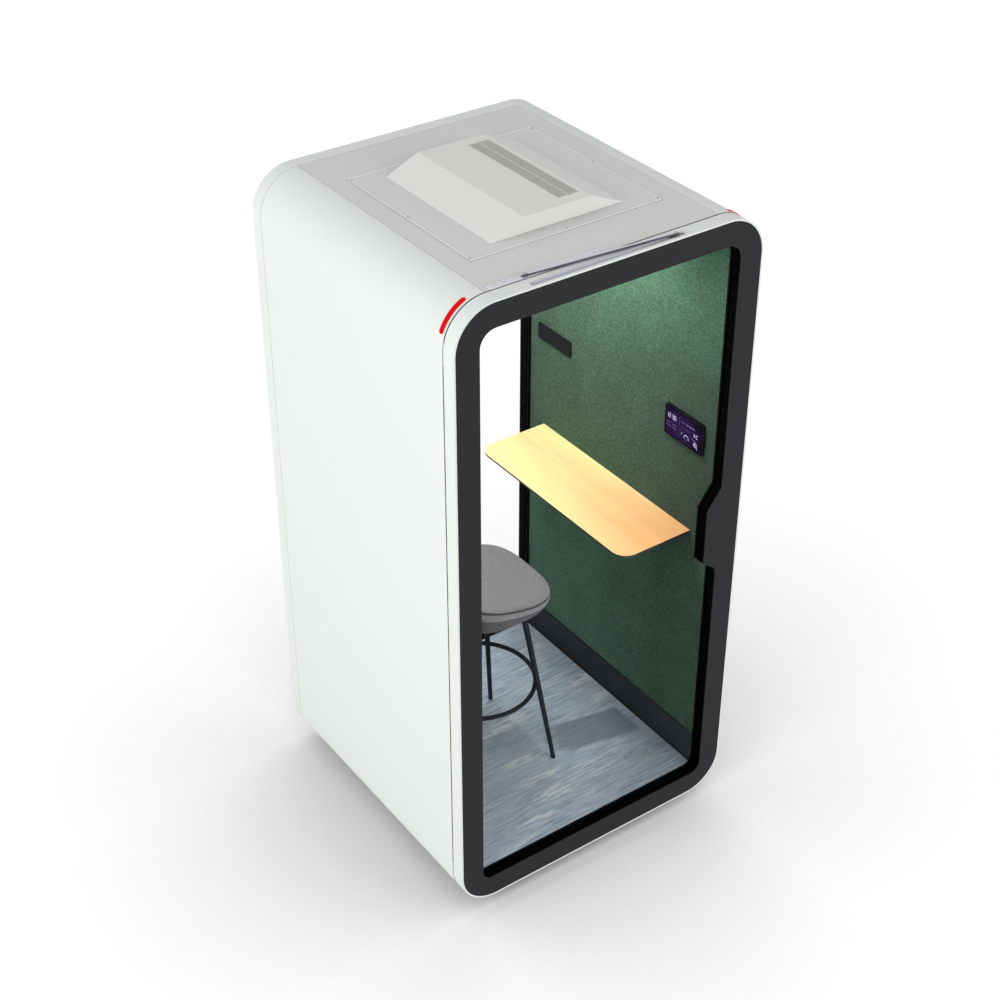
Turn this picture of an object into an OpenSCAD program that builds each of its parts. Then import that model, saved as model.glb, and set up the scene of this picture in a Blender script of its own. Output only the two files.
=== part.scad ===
// Acoustic office pod for one person: a rounded white shell on a levelled base,
// a full-height glass door that swings out on the left, a fixed glass rear, a
// felt-lined cabin with a wall desk and a bar stool, and a ventilated roof.
// X runs right as seen from the front, the door faces -Y, the ground is z = 0.

/* [Pod] */
// Width over the two side shells
pod_w = 1110; // [1040:10:1400]
// Depth over the door and the rear frame
pod_d = 1104; // [1060:10:1400]
// Height of the roof above the ground
pod_h = 2300; // [2200:10:2500]
// Gap between the ground and the underside of the body
ground_gap = 45; // [30:1:60]
// Outer radius of the four long edges
corner_r = 140; // [110:5:160]

/* [Walls] */
// Thickness of the side shells, roof panel and base plate
shell_t = 20; // [16:1:24]
// Thickness of the side insulation
insulation_t = 43; // [35:1:55]
// Thickness of the felt wall panels
felt_t = 12; // [9:1:18]
// Depth of the two jamb rings
jamb_t = 18; // [12:1:24]
// Height of the skirting above the carpet
skirting_h = 122; // [80:2:160]
// Thickness of the skirting
skirting_t = 6; // [4:1:10]

/* [Floor] */
// Height of the floor beams
beam_h = 39; // [30:1:60]
// Width of a floor beam
beam_w = 30; // [20:1:45]
// Thickness of the floor board
board_t = 18; // [12:1:24]
// Thickness of the carpet
carpet_t = 6; // [4:1:10]
// Radius of a levelling foot pad
foot_r = 22; // [16:1:30]
// Radius of a levelling foot stem
foot_stem_r = 6; // [4:0.5:8]
// Inset of the feet from the side of the pod
foot_inset_x = 175; // [165:5:220]
// Inset of the feet from the front and rear of the pod
foot_inset_y = 120; // [90:5:200]

/* [Door and rear frames] */
// Depth of the door leaf
leaf_t = 50; // [44:1:60]
// Gap between the door leaf and the body
seam = 4; // [3.6:0.2:6]
// Depth of the rear frame
rear_t = 50; // [44:1:60]
// Shadow gap between the shell and the rear frame
rear_seam = 2; // [1:0.5:4]
// Wall of the white rim round both frames
rim_t = 6; // [4:1:8]
// Thickness of the dark face plate
face_t = 4; // [3:0.5:6]
// Width of the dark border at the sides
border_side = 80; // [75:1:95]
// Height of the dark border at the top
border_top = 78; // [74:1:95]
// Height of the dark border at the bottom
border_bottom = 78; // [72:1:95]
// Radius of the upper corners of the glass opening
opening_r_top = 56; // [40:1:70]
// Radius of the lower corners of the glass opening
opening_r_bottom = 40; // [30:1:60]
// Thickness of the glass
glass_t = 8; // [6:0.5:10]
// Depth of the glazing bead
bead_t = 8; // [6:0.5:10]
// How far the glass reaches under its frame
glass_lap = 12; // [8:1:16]
// Width of the door seal
seal_w = 12; // [8:1:14]
// Inset of the door seal from the outside
seal_inset = 25; // [24:1:27]

/* [Door handle] */
// Height of the lower end of the straight grip
grip_low = 1065; // [950:5:1100]
// Height of the upper end of the straight grip
grip_high = 1270; // [1220:5:1400]
// How far the grip stands into the opening
grip_w = 55; // [40:1:70]
// Height of the upper slope of the handle
slope_up = 75; // [40:5:100]
// Height of the lower slope of the handle
slope_down = 35; // [20:5:60]
// Height of the tail below the lower slope
tail_h = 27; // [15:1:40]
// Width of the tail where the slope ends
tail_w = 6; // [3:1:10]

/* [Hinge] */
// Width of a hinge leaf
hinge_leaf_w = 14; // [10:1:18]
// Distance from the body side to the hinge axis
hinge_inset = 2.5; // [2.2:0.1:3.5]
// Number of knuckles, an odd number
knuckles = 19; // [11:2:31]
// Distance from the corner curve to the hinge ends
hinge_end = 45; // [30:5:100]

/* [Roof and vent] */
// Height of the cavity over the ceiling
cavity_h = 43; // [40:1:60]
// Thickness of the ceiling panel
ceiling_t = 12; // [9:1:18]
// Gap between roof panel and side shells
roof_gap = 1; // [0.5:0.5:3]
// Width of the roof access panel
access_w = 686; // [600:2:760]
// Depth of the roof access panel
access_d = 660; // [600:2:800]
// Thickness of the roof access panel
access_t = 2; // [1.5:0.5:4]
// Width of the vent housing at its foot
vent_w = 476; // [420:2:560]
// Width of the vent housing at its top
vent_top_w = 244; // [230:2:300]
// Depth of the vent housing
vent_d = 548; // [500:2:580]
// Height of the vent housing
vent_h = 50; // [45:1:70]
// Wall of the vent housing
vent_wall = 2; // [1.5:0.5:3]
// Width of the outlet grille
grille_w = 76; // [56:2:80]
// Length of the outlet grille
grille_d = 462; // [400:2:480]
// Distance of the grille from the middle of the roof
grille_x = 70; // [60:1:76]
// Slots in each strip of the grille
grille_slots = 46; // [20:1:50]

/* [Fans] */
// Side of a fan housing
fan_side = 120; // [100:1:130]
// Depth of a fan housing
fan_t = 25; // [23:1:30]
// Distance of each fan from the middle of the pod
fan_y = 120; // [100:1:140]
// Blades on a rotor
fan_blades = 7; // [5:1:9]

/* [Ceiling] */
// Width of the ceiling light
light_w = 160; // [120:5:200]
// Length of the ceiling light
light_d = 600; // [400:10:700]
// Width of the air inlet
inlet_w = 60; // [40:2:80]
// Length of the air inlet
inlet_d = 300; // [200:10:400]

/* [Desk] */
// Height of the desk top above the ground
desk_z = 1089; // [1020:1:1150]
// Depth of the desk from the wall
desk_w = 288; // [240:2:320]
// Length of the desk along the wall
desk_d = 818; // [700:2:860]
// Distance of the desk middle behind the middle of the pod
desk_y = 7; // [-10:1:15]
// Thickness of the desk top
desk_t = 8; // [6:1:28]
// Radius of the two free corners
desk_r = 55; // [30:1:80]
// Distance of each bracket from the middle
bracket_y = 250; // [150:5:290]

/* [Wall fittings] */
// Width of the touch display
display_w = 193; // [160:1:220]
// Height of the touch display
display_h = 117; // [90:1:130]
// Height of the display centre above the ground
display_z = 1460; // [1400:5:1600]
// Distance of the display centre from the front of the pod
display_y = 205; // [190:5:250]
// Width of the control plate
plate_w = 185; // [120:1:220]
// Height of the control plate
plate_h = 58; // [40:1:80]
// Height of the control plate centre above the ground
plate_z = 1467; // [1400:1:1600]
// Distance of the control plate centre from the rear of the pod
plate_y = 195; // [190:5:260]

/* [Status lights] */
// Width of a light strip
led_w = 17; // [8:1:20]
// Distance of the strip behind the shell edge
led_back = 17.5; // [14:0.5:30]
// Angle at which the strip starts above the side
led_from = 23; // [10:1:35]
// Angle at which the strip ends above the side
led_to = 65; // [50:1:80]

/* [Door closer] */
// Distance from the hinge axis to the spindle
spindle_x = 274.5; // [240:0.5:300]
// Distance of the spindle behind the hinge axis
spindle_y = 9; // [8.5:0.5:12]
// Length of the closer arm between its pivots
arm_len = 501.8; // [480:0.1:510]
// Distance of the slide rail from the front of the door
rail_y = 18; // [16:1:22]
// Width of the slide rail
rail_w = 18; // [16:1:20]
// Height of the slide rail
rail_h = 17; // [14:1:24]

/* [Stool] */
// Distance of the stool from the middle, towards the desk
stool_x = -112; // [-130:2:-80]
// Distance of the seat from the stool axis, towards the desk
seat_dx = 30; // [0:2:40]
// Distance of the seat from the stool axis, towards the rear
seat_dy = -10; // [-20:2:20]
// Height of the seat rim above the carpet
seat_h = 728; // [650:2:760]
// Length of the seat towards the desk
seat_d = 380; // [360:2:460]
// Width of the seat along the desk
seat_w = 416; // [400:2:460]
// How far the seat rim rises at its back
seat_rise = 93; // [20:1:110]
// Thickness of the seat cushion
cushion_t = 23; // [16:1:40]
// Depth of the shell below the rim
seat_shell_h = 67; // [45:1:75]
// Half the distance between two feet
foot_half = 196; // [180:1:215]
// Radius of a stool leg at its foot
leg_r = 8; // [7:0.5:12]
// Radius of a stool leg at its top
leg_top_r = 11; // [8:0.5:14]
// Height of the footrest above the carpet
ring_h = 322; // [250:2:400]
// Radius of the footrest tube
ring_r = 8; // [6:0.5:10]

/* [Hidden] */

// General
round_fn = 96;            // facets that a round preview is drawn with
over = 1;                 // overrun of every cut
fit = 0.05;               // radial running clearance of pins and spindles
clear = 0.5;              // side clearance of sliding and hanging parts
rest_gap = 0.3;           // gap under parts that only stand on others

// Front to back
half_w = pod_w / 2;
y_front = -pod_d / 2;
y_rear = pod_d / 2;
leaf_back = y_front + leaf_t;
body_front = leaf_back + seam;
rim_front = y_rear - rear_t;
body_rear = rim_front - rear_seam;
lining_front = body_front + jamb_t;
lining_rear = body_rear - jamb_t;

// Side to side, with the cabin measured between the felt panels
flat_x = half_w - corner_r;
lining_x = half_w - shell_t - insulation_t;
cabin_x = lining_x - felt_t;

// Bottom to top
plate_top = ground_gap + shell_t;
board_bottom = plate_top + beam_h;
board_top = board_bottom + board_t;
floor_z = board_top + carpet_t;
roof_bottom = pod_h - shell_t;
ceiling_top = roof_bottom - cavity_h;
ceiling_z = ceiling_top - ceiling_t;
access_top = pod_h + access_t;
vent_top = access_top + vent_h;

// Glass opening
open_x = half_w - rim_t - border_side;
open_low = ground_gap + rim_t + border_bottom;
open_high = pod_h - rim_t - border_top;
glass_edge = 1;           // gap between the glass edge and its rebate

// Floor
beam_places_share = [-0.93, -0.32, 0.32, 0.93];
foot_pad_h = 8;
foot_x = half_w - foot_inset_x;
foot_y = y_rear - foot_inset_y;

// Door seal, latch and plug
seal_gap = 0.4;
latch_w = 14;
latch_h = 60;
latch_t = 1.5;
magnet_t = 9;
magnet_margin = 2;
latch_x = half_w - (rim_t + border_side + shell_t + insulation_t + felt_t) / 3;
latch_z = (grip_low + grip_high) / 2;
plug_r = 9;
plug_t = 3;
plug_drop = 188;          // below the lower end of the grip

// Hinge, held in the seam
hinge_x = -half_w + hinge_inset;
hinge_y = (leaf_back + body_front) / 2;
knuckle_gap = 0.6;
knuckle_r = seam / 2 - rest_gap;
pin_r = knuckle_r * 0.58;
leaf_plate_t = seam * 0.3;
plate_back_off = 0.4;
relief_extra = 0.25;
relief_r = max(hinge_inset, seam / 2) * sqrt(2) + relief_extra;
hinge_low = ground_gap + corner_r + hinge_end;
hinge_high = pod_h - corner_r - hinge_end;
knuckle_pitch = (hinge_high - hinge_low) / knuckles;

// Roof insulation, plenum and power supply
roof_pad_side = 15;
roof_pad_end = 60;
plenum_margin = 25;
psu_w = 110;
psu_d = 160;
psu_h = 35;
psu_side = 40;            // from the edge of the flat roof
psu_clear = 10;
duct_r = fan_side * 0.47;

// Fans
hub_r = fan_side * 0.17;
blade_r = fan_side * 0.435;
blade_t = 1.5;
blade_tilt = 38;
blade_share = 0.62;       // blade chord as a share of the rotor height
spider_t = 3;
spider_w = 5;
shaft_r = 2;
rotor_gap = 1;
rotor_h = fan_t - spider_t - 2 * rotor_gap;

// Ceiling light and air inlet
light_rim = 8;
light_drop = 3;
diffuser_t = 3;
tray_t = 2;
inlet_x = -flat_x * 0.65;
inlet_bars = 6;
inlet_rim = 6;
inlet_bar_share = 0.45;

// Access panel screws
screw_r = 4;
screw_h = 1;
screw_inset = 5;
screw_inset_y = 15;

// Vent grille and mains inlet
grille_edge = 2;
grille_bar = 4;
grille_slot_share = 0.55;
mains_w = 48;
mains_h = 26;
mains_t = 3;
mains_mouth_w = 28;
mains_mouth_h = 16;
mains_mouth_t = 2;
mains_pin_w = 5;
mains_pin_h = 2;

// Status light lens
led_depth = 6;
led_proud = 2;
led_ease = 0.05;          // how much slimmer the round ends are than the strip

// Desk bracket
bracket_w = 40;
bracket_t = 4;
bracket_reach = desk_w * 0.6;
bracket_drop = bracket_reach * 0.6;
gusset_t = 5;

// Wall fittings
display_t = 8;
display_r = 10;
screen_t = 1;
screen_margin = 4;
plate_t = 7;
plate_r = 4;
button_r = 5;
button_t = 1.5;
button_inset = 36;

// Door closer
cover_t = 4;
cover_lead = 20;          // from the corner curve to the cover
cover_right = 16;         // from the pod middle to the cover
cover_d = 22;
case_margin = 20;
case_drop = 28;
case_front = 1;
case_floor = 4;
case_back = 4;
spindle_r = 5;
spindle_hole = 1.5;
arm_t = 4;
arm_w = 12;
arm_lift = 1;             // gap between the cover and the arm
arm_boss_r = 10;
cover_screw_r = 3;
cover_screw_h = 0.8;
cover_screw_in = 20;      // from the ends of the cover to its outer screws
cover_screw_pitch = 33;
rail_wall = 2;
rail_proud = 1;
rail_lead = 262;          // from the hinge axis to the near end of the rail
rail_tail = 18;           // past the slider when the door is shut
slider_l = 30;
slider_pin_r = 3;
spindle_px = hinge_x + spindle_x;
spindle_py = hinge_y + spindle_y;
track_y = y_front + rail_y;
arm_dy = spindle_py - track_y;
arm_angle = asin(arm_dy / arm_len);
slider_x = spindle_px + sqrt(arm_len * arm_len - arm_dy * arm_dy);
arm_z = pod_h + cover_t + arm_lift;
rail_low = pod_h + rail_proud - rail_h;
slider_h = rail_h - rail_wall - rail_proud - 2 * rest_gap;

// Stool
rim_z = floor_z + seat_h;
stool_low = floor_z + rest_gap;
shell_low = rim_z - seat_shell_h;
glide_h = 6;
glide_r = leg_r + clear;
yoke_t = 6;
yoke_w = 32;
leg_top_half = seat_d * 0.3;
ring_half = foot_half - (foot_half - leg_top_half) * ring_h / (shell_low - yoke_t - floor_z);
ring_big_r = ring_half * sqrt(2) - leg_r - ring_r * 0.7;
seat_steps = 48;
seat_power = 3.2;
// Seat sections, each a share of the rim radius and a share of the height
cushion_shares = [[0.97, 0], [0.985, 0.10], [1, 0.32], [0.99, 0.55],
    [0.955, 0.78], [0.88, 0.93], [0.74, 1.02], [0.5, 1.08], [0.25, 1.10]];
bowl_shares = [[0.70, 1], [0.80, 0.93], [0.89, 0.74], [0.955, 0.48],
    [0.99, 0.22], [1, 0.10], [0.97, 0]];

// Colours
shell_white = [0.93, 0.95, 0.93];
roof_grey = [0.77, 0.775, 0.76];
vent_white = [0.86, 0.865, 0.85];
border_grey = [0.19, 0.19, 0.2];
frame_black = [0.03, 0.03, 0.035];
felt_green = [0.24, 0.37, 0.3];
skirting_grey = [0.11, 0.12, 0.13];
carpet_blue = [0.5, 0.58, 0.63];
maple = [0.93, 0.78, 0.55];
steel = [0.68, 0.69, 0.7];
glass_tint = [0.8, 0.88, 0.88, 0.35];
seat_grey = [0.52, 0.52, 0.53];
leg_grey = [0.18, 0.2, 0.21];
led_red = [0.86, 0.05, 0.05];
wool = [0.85, 0.82, 0.6];

// Carries a drawing in X and Z along Y, from y0 to y1
module along_y(y0, y1) {
    translate([0, y1, 0]) rotate([90, 0, 0]) linear_extrude(y1 - y0) children();
}

// Carries a drawing in Y and Z along X, from x0 to x1
module along_x(x0, x1) {
    translate([x0, 0, 0]) rotate([90, 0, 90]) linear_extrude(x1 - x0) children();
}

// Box between two corners
module block(p, q) {
    translate(p) cube([q[0] - p[0], q[1] - p[1], q[2] - p[2]]);
}

// Upright cylinder between two heights
module post(x, y, z0, z1, r) {
    translate([x, y, z0]) cylinder(h = z1 - z0, r = r, $fn = round_fn);
}

// Rectangle with its own radii at the foot and the head
module round_rect(x0, x1, z0, z1, r_low, r_high) {
    translate([x0, z0 + r_low]) square([x1 - x0, z1 - z0 - r_low - r_high]);
    translate([x0 + r_low, z0]) square([x1 - x0 - 2 * r_low, r_low + r_high]);
    translate([x0 + r_high, z1 - r_low - r_high])
        square([x1 - x0 - 2 * r_high, r_low + r_high]);
    for (x = [x0 + r_low, x1 - r_low]) translate([x, z0 + r_low]) circle(r_low, $fn = round_fn);
    for (x = [x0 + r_high, x1 - r_high]) translate([x, z1 - r_high]) circle(r_high, $fn = round_fn);
}

// Outer line of the pod, drawn in by some inset
module outline(inset) {
    round_rect(-half_w + inset, half_w - inset, ground_gap + inset, pod_h - inset,
        corner_r - inset, corner_r - inset);
}

// Glass opening, grown by some lap
module opening(lap) {
    round_rect(-open_x - lap, open_x + lap, open_low - lap, open_high + lap,
        opening_r_bottom + lap, opening_r_top + lap);
}

// Handle tab that the right side of the opening carries
module handle_tab(lap) {
    polygon([[open_x + lap, grip_high + slope_up], [open_x, grip_high + slope_up],
        [open_x - grip_w, grip_high], [open_x - grip_w, grip_low],
        [open_x - tail_w, grip_low - slope_down],
        [open_x, grip_low - slope_down - tail_h],
        [open_x + lap, grip_low - slope_down - tail_h]]);
}

// Floor and lower body
module base_frame() {
    color(steel) {
        difference() {
            block([-flat_x, body_front, ground_gap], [flat_x, body_rear, plate_top]);
            for (x = [-foot_x, foot_x], y = [-foot_y, foot_y])
                post(x, y, ground_gap - over, plate_top + over, foot_stem_r + fit);
        }
        for (s = beam_places_share)
            translate([s * (flat_x - beam_w / 2) - beam_w / 2, 0, 0])
                block([0, lining_front, plate_top], [beam_w, lining_rear, board_bottom]);
    }
}

module levelling_feet() {
    color(frame_black) for (x = [-foot_x, foot_x], y = [-foot_y, foot_y]) {
        post(x, y, 0, foot_pad_h, foot_r);
        post(x, y, foot_pad_h, plate_top, foot_stem_r);
    }
}

module floor_board() {
    color(maple) along_y(lining_front, lining_rear) intersection() {
        outline(shell_t);
        translate([-lining_x, board_bottom]) square([lining_x * 2, board_t]);
    }
}

module carpet() {
    color(carpet_blue) block([-cabin_x, body_front, board_top],
        [cabin_x, body_rear, floor_z]);
}

// Straight part of a status light, round its corner, as a solid wedge
module led_slot(r_in, r_out) {
    led_y = body_front + led_back;
    intersection() {
        along_y(led_y - led_w / 2, led_y + led_w / 2) difference() {
            circle(r_out, $fn = round_fn);
            circle(r_in, $fn = round_fn);
        }
        union() {
            rotate([0, -led_from, 0]) led_sector(led_y, led_to - led_from);
            for (a = [led_from, led_to]) rotate([0, -a, 0]) translate([0, led_y, 0])
                rotate([0, 90, 0]) cylinder(h = corner_r * 2, r = led_w / 2 - led_ease,
                    $fn = round_fn);
        }
    }
}

// Sector of a disc across the light, from the side upwards
module led_sector(led_y, sweep) {
    along_y(led_y - led_w / 2, led_y + led_w / 2)
        polygon([[0, 0], [corner_r * 2, 0],
            [corner_r * 2 * cos(sweep), corner_r * 2 * sin(sweep)]]);
}

// Places a light drawn round the origin on one of the two upper corners
module on_corner(side) {
    if (side > 0) translate([flat_x, 0, pod_h - corner_r]) children();
    else translate([-flat_x, 0, pod_h - corner_r]) mirror([1, 0, 0]) children();
}

module side_shell(side) {
    color(shell_white) difference() {
        along_y(body_front, body_rear) intersection() {
            difference() {
                outline(0);
                outline(shell_t);
            }
            translate([side > 0 ? flat_x : -half_w - over, 0])
                square([corner_r + over, pod_h + over]);
        }
        on_corner(side) led_slot(corner_r - led_depth, corner_r + over);
        if (side < 0) post(hinge_x, hinge_y, 0, pod_h, relief_r);
    }
}

module side_shell_left() { side_shell(-1); }
module side_shell_right() { side_shell(1); }

module status_light(side) {
    color(led_red) on_corner(side) led_slot(corner_r - led_depth, corner_r + led_proud);
}

module status_light_left() { status_light(-1); }
module status_light_right() { status_light(1); }

module roof_panel() {
    roof_x = flat_x - roof_gap;
    color(roof_grey) difference() {
        block([-roof_x, body_front, roof_bottom], [roof_x, body_rear, pod_h]);
        for (y = [-fan_y, fan_y]) post(grille_x, y, roof_bottom - over, pod_h + over, duct_r);
        post(spindle_px, spindle_py, roof_bottom - over, pod_h + over,
            spindle_r + spindle_hole);
    }
}

// Wall lining
module insulation(side) {
    x0 = side > 0 ? lining_x : -half_w + shell_t;
    color(wool) block([x0, lining_front, ground_gap + corner_r],
        [x0 + insulation_t, lining_rear, pod_h - corner_r]);
}

module insulation_left() { insulation(-1); }
module insulation_right() { insulation(1); }

module felt_panel(side) {
    x0 = side > 0 ? cabin_x : -lining_x;
    color(felt_green) block([x0, body_front, board_top],
        [x0 + felt_t, body_rear, ceiling_z]);
}

module felt_panel_left() { felt_panel(-1); }
module felt_panel_right() { felt_panel(1); }

module skirting(side) {
    x0 = side > 0 ? cabin_x - skirting_t : -cabin_x;
    color(skirting_grey) block([x0, body_front, floor_z],
        [x0 + skirting_t, body_rear, floor_z + skirting_h]);
}

module skirting_left() { skirting(-1); }
module skirting_right() { skirting(1); }

// Jamb ring between shell and lining, with the felt and the carpet run over it
module jamb(y0, y1) {
    along_y(y0, y1) difference() {
        outline(shell_t);
        translate([-lining_x, board_top]) square([lining_x * 2, ceiling_z - board_top]);
    }
}

module jamb_front() {
    color(frame_black) difference() {
        jamb(body_front, lining_front);
        closer_box(over);
    }
}

module jamb_rear() { color(frame_black) jamb(lining_rear, body_rear); }

// Rear glazing
module rim(y0, y1) {
    along_y(y0, y1) difference() {
        outline(0);
        outline(rim_t);
    }
}

module rear_rim() { color(shell_white) rim(rim_front, y_rear); }

module rear_face_plate() {
    color(border_grey) along_y(y_rear - face_t, y_rear) difference() {
        outline(rim_t);
        opening(0);
    }
}

module rear_core_frame() {
    color(frame_black) difference() {
        along_y(body_rear, y_rear - face_t) difference() {
            outline(rim_t);
            opening(0);
        }
        along_y(body_rear - over, body_rear + bead_t + glass_t) opening(glass_lap);
    }
}

module rear_glass() {
    color(glass_tint) along_y(body_rear + bead_t, body_rear + bead_t + glass_t)
        opening(glass_lap - glass_edge);
}

module rear_bead() {
    color(frame_black) along_y(body_rear, body_rear + bead_t) difference() {
        opening(glass_lap);
        opening(0);
    }
}

// Ceiling, its light and its air inlet
module ceiling_panel() {
    color(shell_white) difference() {
        block([-lining_x, lining_front, ceiling_z], [lining_x, lining_rear, ceiling_top]);
        block([-light_w / 2, -light_d / 2, ceiling_z - over],
            [light_w / 2, light_d / 2, ceiling_top + over]);
        block([inlet_x - inlet_w / 2, -inlet_d / 2, ceiling_z - over],
            [inlet_x + inlet_w / 2, inlet_d / 2, ceiling_top + over]);
    }
}

module ceiling_light_frame() {
    color(steel) difference() {
        block([-light_w / 2, -light_d / 2, ceiling_z - light_drop],
            [light_w / 2, light_d / 2, ceiling_top]);
        block([light_rim - light_w / 2, light_rim - light_d / 2, ceiling_z - light_drop - over],
            [light_w / 2 - light_rim, light_d / 2 - light_rim, ceiling_top - tray_t]);
    }
}

module ceiling_light_diffuser() {
    color("white") block([light_rim - light_w / 2, light_rim - light_d / 2,
        ceiling_z - light_drop + screen_t], [light_w / 2 - light_rim,
        light_d / 2 - light_rim, ceiling_z - light_drop + screen_t + diffuser_t]);
}

module ceiling_inlet() {
    mouth_w = inlet_w - 2 * inlet_rim;
    mouth_d = inlet_d - 2 * inlet_rim;
    pitch = mouth_w / inlet_bars;
    color(frame_black) translate([inlet_x, 0, 0]) difference() {
        block([-inlet_w / 2, -inlet_d / 2, ceiling_z - screen_t],
            [inlet_w / 2, inlet_d / 2, ceiling_top]);
        for (i = [0 : inlet_bars - 1])
            translate([pitch * (i + 0.5) - mouth_w / 2, 0, 0])
                block([-pitch * inlet_bar_share / 2, -mouth_d / 2, ceiling_z - screen_t - over],
                    [pitch * inlet_bar_share / 2, mouth_d / 2, ceiling_top + over]);
    }
}

// Roof cavity
module power_supply() {
    color(steel) block([flat_x - psu_side - psu_w, -psu_d / 2, ceiling_top],
        [flat_x - psu_side, psu_d / 2, ceiling_top + psu_h]);
}

module insulation_roof() {
    pad_x = flat_x - roof_pad_side;
    plenum_y = fan_y + fan_side / 2 + plenum_margin;
    psu_x = flat_x - psu_side - psu_w - psu_clear;
    color(wool) difference() {
        block([-pad_x, lining_front + roof_pad_end, ceiling_top],
            [pad_x, lining_rear - roof_pad_end, roof_bottom]);
        block([inlet_x - inlet_w / 2 - plenum_margin, -plenum_y, ceiling_top - over],
            [grille_x + fan_side / 2 + plenum_margin, plenum_y, roof_bottom + over]);
        block([psu_x, -psu_d / 2 - psu_clear, ceiling_top - over],
            [flat_x + over, psu_d / 2 + psu_clear, roof_bottom + over]);
    }
}

// Fan housing with its spider and shaft, hung under the roof panel
module fan_housing(y) {
    z0 = roof_bottom - fan_t;
    color(frame_black) translate([grille_x, y, z0]) {
        difference() {
            block([-fan_side / 2, -fan_side / 2, 0], [fan_side / 2, fan_side / 2, fan_t]);
            post(0, 0, -over, fan_t + over, duct_r);
        }
        post(0, 0, 0, spider_t, hub_r);
        for (a = [45 : 90 : 315]) rotate([0, 0, a])
            block([hub_r - spider_w, -spider_w / 2, 0],
                [duct_r + spider_w / 2, spider_w / 2, spider_t]);
        post(0, 0, spider_t, spider_t + rotor_h / 2, shaft_r);
    }
}

module fan_housing_front() { fan_housing(-fan_y); }
module fan_housing_rear() { fan_housing(fan_y); }

module fan_rotor(y) {
    chord = rotor_h * blade_share;
    color(border_grey) translate([grille_x, y, roof_bottom - fan_t + spider_t + rotor_gap]) {
        difference() {
            post(0, 0, 0, rotor_h, hub_r);
            post(0, 0, -over, rotor_h * 0.7, shaft_r + fit);
        }
        for (i = [0 : fan_blades - 1]) rotate([0, 0, i * 360 / fan_blades])
            translate([hub_r - blade_t, 0, rotor_h / 2]) rotate([blade_tilt, 0, 0])
                translate([0, -blade_t / 2, -chord / 2])
                    cube([blade_r - hub_r + blade_t, blade_t, chord]);
    }
}

module fan_rotor_front() { fan_rotor(-fan_y); }
module fan_rotor_rear() { fan_rotor(fan_y); }

// Roof access panel and vent
module access_panel() {
    color(roof_grey) difference() {
        block([-access_w / 2, -access_d / 2, pod_h], [access_w / 2, access_d / 2, access_top]);
        for (y = [-fan_y, fan_y]) post(grille_x, y, pod_h - over, access_top + over, duct_r);
    }
}

module access_screws() {
    sx = access_w / 2 - screw_inset;
    sy = access_d / 2 - screw_inset_y;
    color(steel) for (p = [[-sx, -sy], [sx, -sy], [-sx, sy], [sx, sy], [-sx, 0], [sx, 0],
            [0, -sy], [0, sy]])
        post(p[0], p[1], access_top, access_top + screw_h, screw_r);
}

module vent_section(inset) {
    slope = (vent_w - vent_top_w) / 2 / vent_h;
    side = inset * sqrt(1 + slope * slope);
    top = vent_top - inset;
    foot = access_top - (inset > 0 ? over : 0);
    polygon([[-vent_w / 2 + side - slope * (foot - access_top) * -1, foot],
        [vent_w / 2 - side + slope * (foot - access_top) * -1, foot],
        [vent_top_w / 2 - side + slope * inset, top],
        [-vent_top_w / 2 + side - slope * inset, top]]);
}

module vent_housing() {
    color(vent_white) difference() {
        along_y(-vent_d / 2, vent_d / 2) vent_section(0);
        along_y(-vent_d / 2 + vent_wall, vent_d / 2 - vent_wall) vent_section(vent_wall);
        block([grille_x - grille_w / 2, -grille_d / 2, vent_top - vent_wall - over],
            [grille_x + grille_w / 2, grille_d / 2, vent_top + over]);
    }
}

module vent_grille() {
    strip_w = (grille_w - 2 * grille_edge - grille_bar) / 2;
    pitch = (grille_d - 2 * grille_edge) / grille_slots;
    color(roof_grey) translate([grille_x, 0, 0]) difference() {
        block([-grille_w / 2, -grille_d / 2, vent_top - vent_wall],
            [grille_w / 2, grille_d / 2, vent_top]);
        for (x = [-grille_bar / 2 - strip_w, grille_bar / 2], i = [0 : grille_slots - 1])
            translate([x, grille_edge - grille_d / 2 + pitch * (i + 0.5), 0])
                block([0, -pitch * grille_slot_share / 2, vent_top - vent_wall - over],
                    [strip_w, pitch * grille_slot_share / 2, vent_top + over]);
    }
}

module mains_inlet() {
    z = access_top + vent_h / 2;
    color(frame_black) translate([0, vent_d / 2, z]) {
        difference() {
            block([-mains_w / 2, 0, -mains_h / 2], [mains_w / 2, mains_t, mains_h / 2]);
            block([-mains_mouth_w / 2, mains_t - mains_mouth_t, -mains_mouth_h / 2],
                [mains_mouth_w / 2, mains_t + over, mains_mouth_h / 2]);
        }
        for (s = [-1, 0, 1]) translate([s * mains_mouth_w / 4, 0, s == 0 ? mains_pin_w / 2 : 0])
            block([-mains_pin_h / 2, 0, -mains_pin_w / 2],
                [mains_pin_h / 2, mains_t, mains_pin_w / 2]);
    }
}

// Desk and wall fittings
module desk_top() {
    x0 = cabin_x - desk_w;
    color(maple) translate([0, desk_y, desk_z - desk_t]) linear_extrude(desk_t) {
        translate([x0 + desk_r, -desk_d / 2]) square([desk_w - desk_r, desk_d]);
        translate([x0, desk_r - desk_d / 2]) square([desk_w, desk_d - 2 * desk_r]);
        for (y = [desk_r - desk_d / 2, desk_d / 2 - desk_r])
            translate([x0 + desk_r, y]) circle(desk_r, $fn = round_fn);
    }
}

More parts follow.
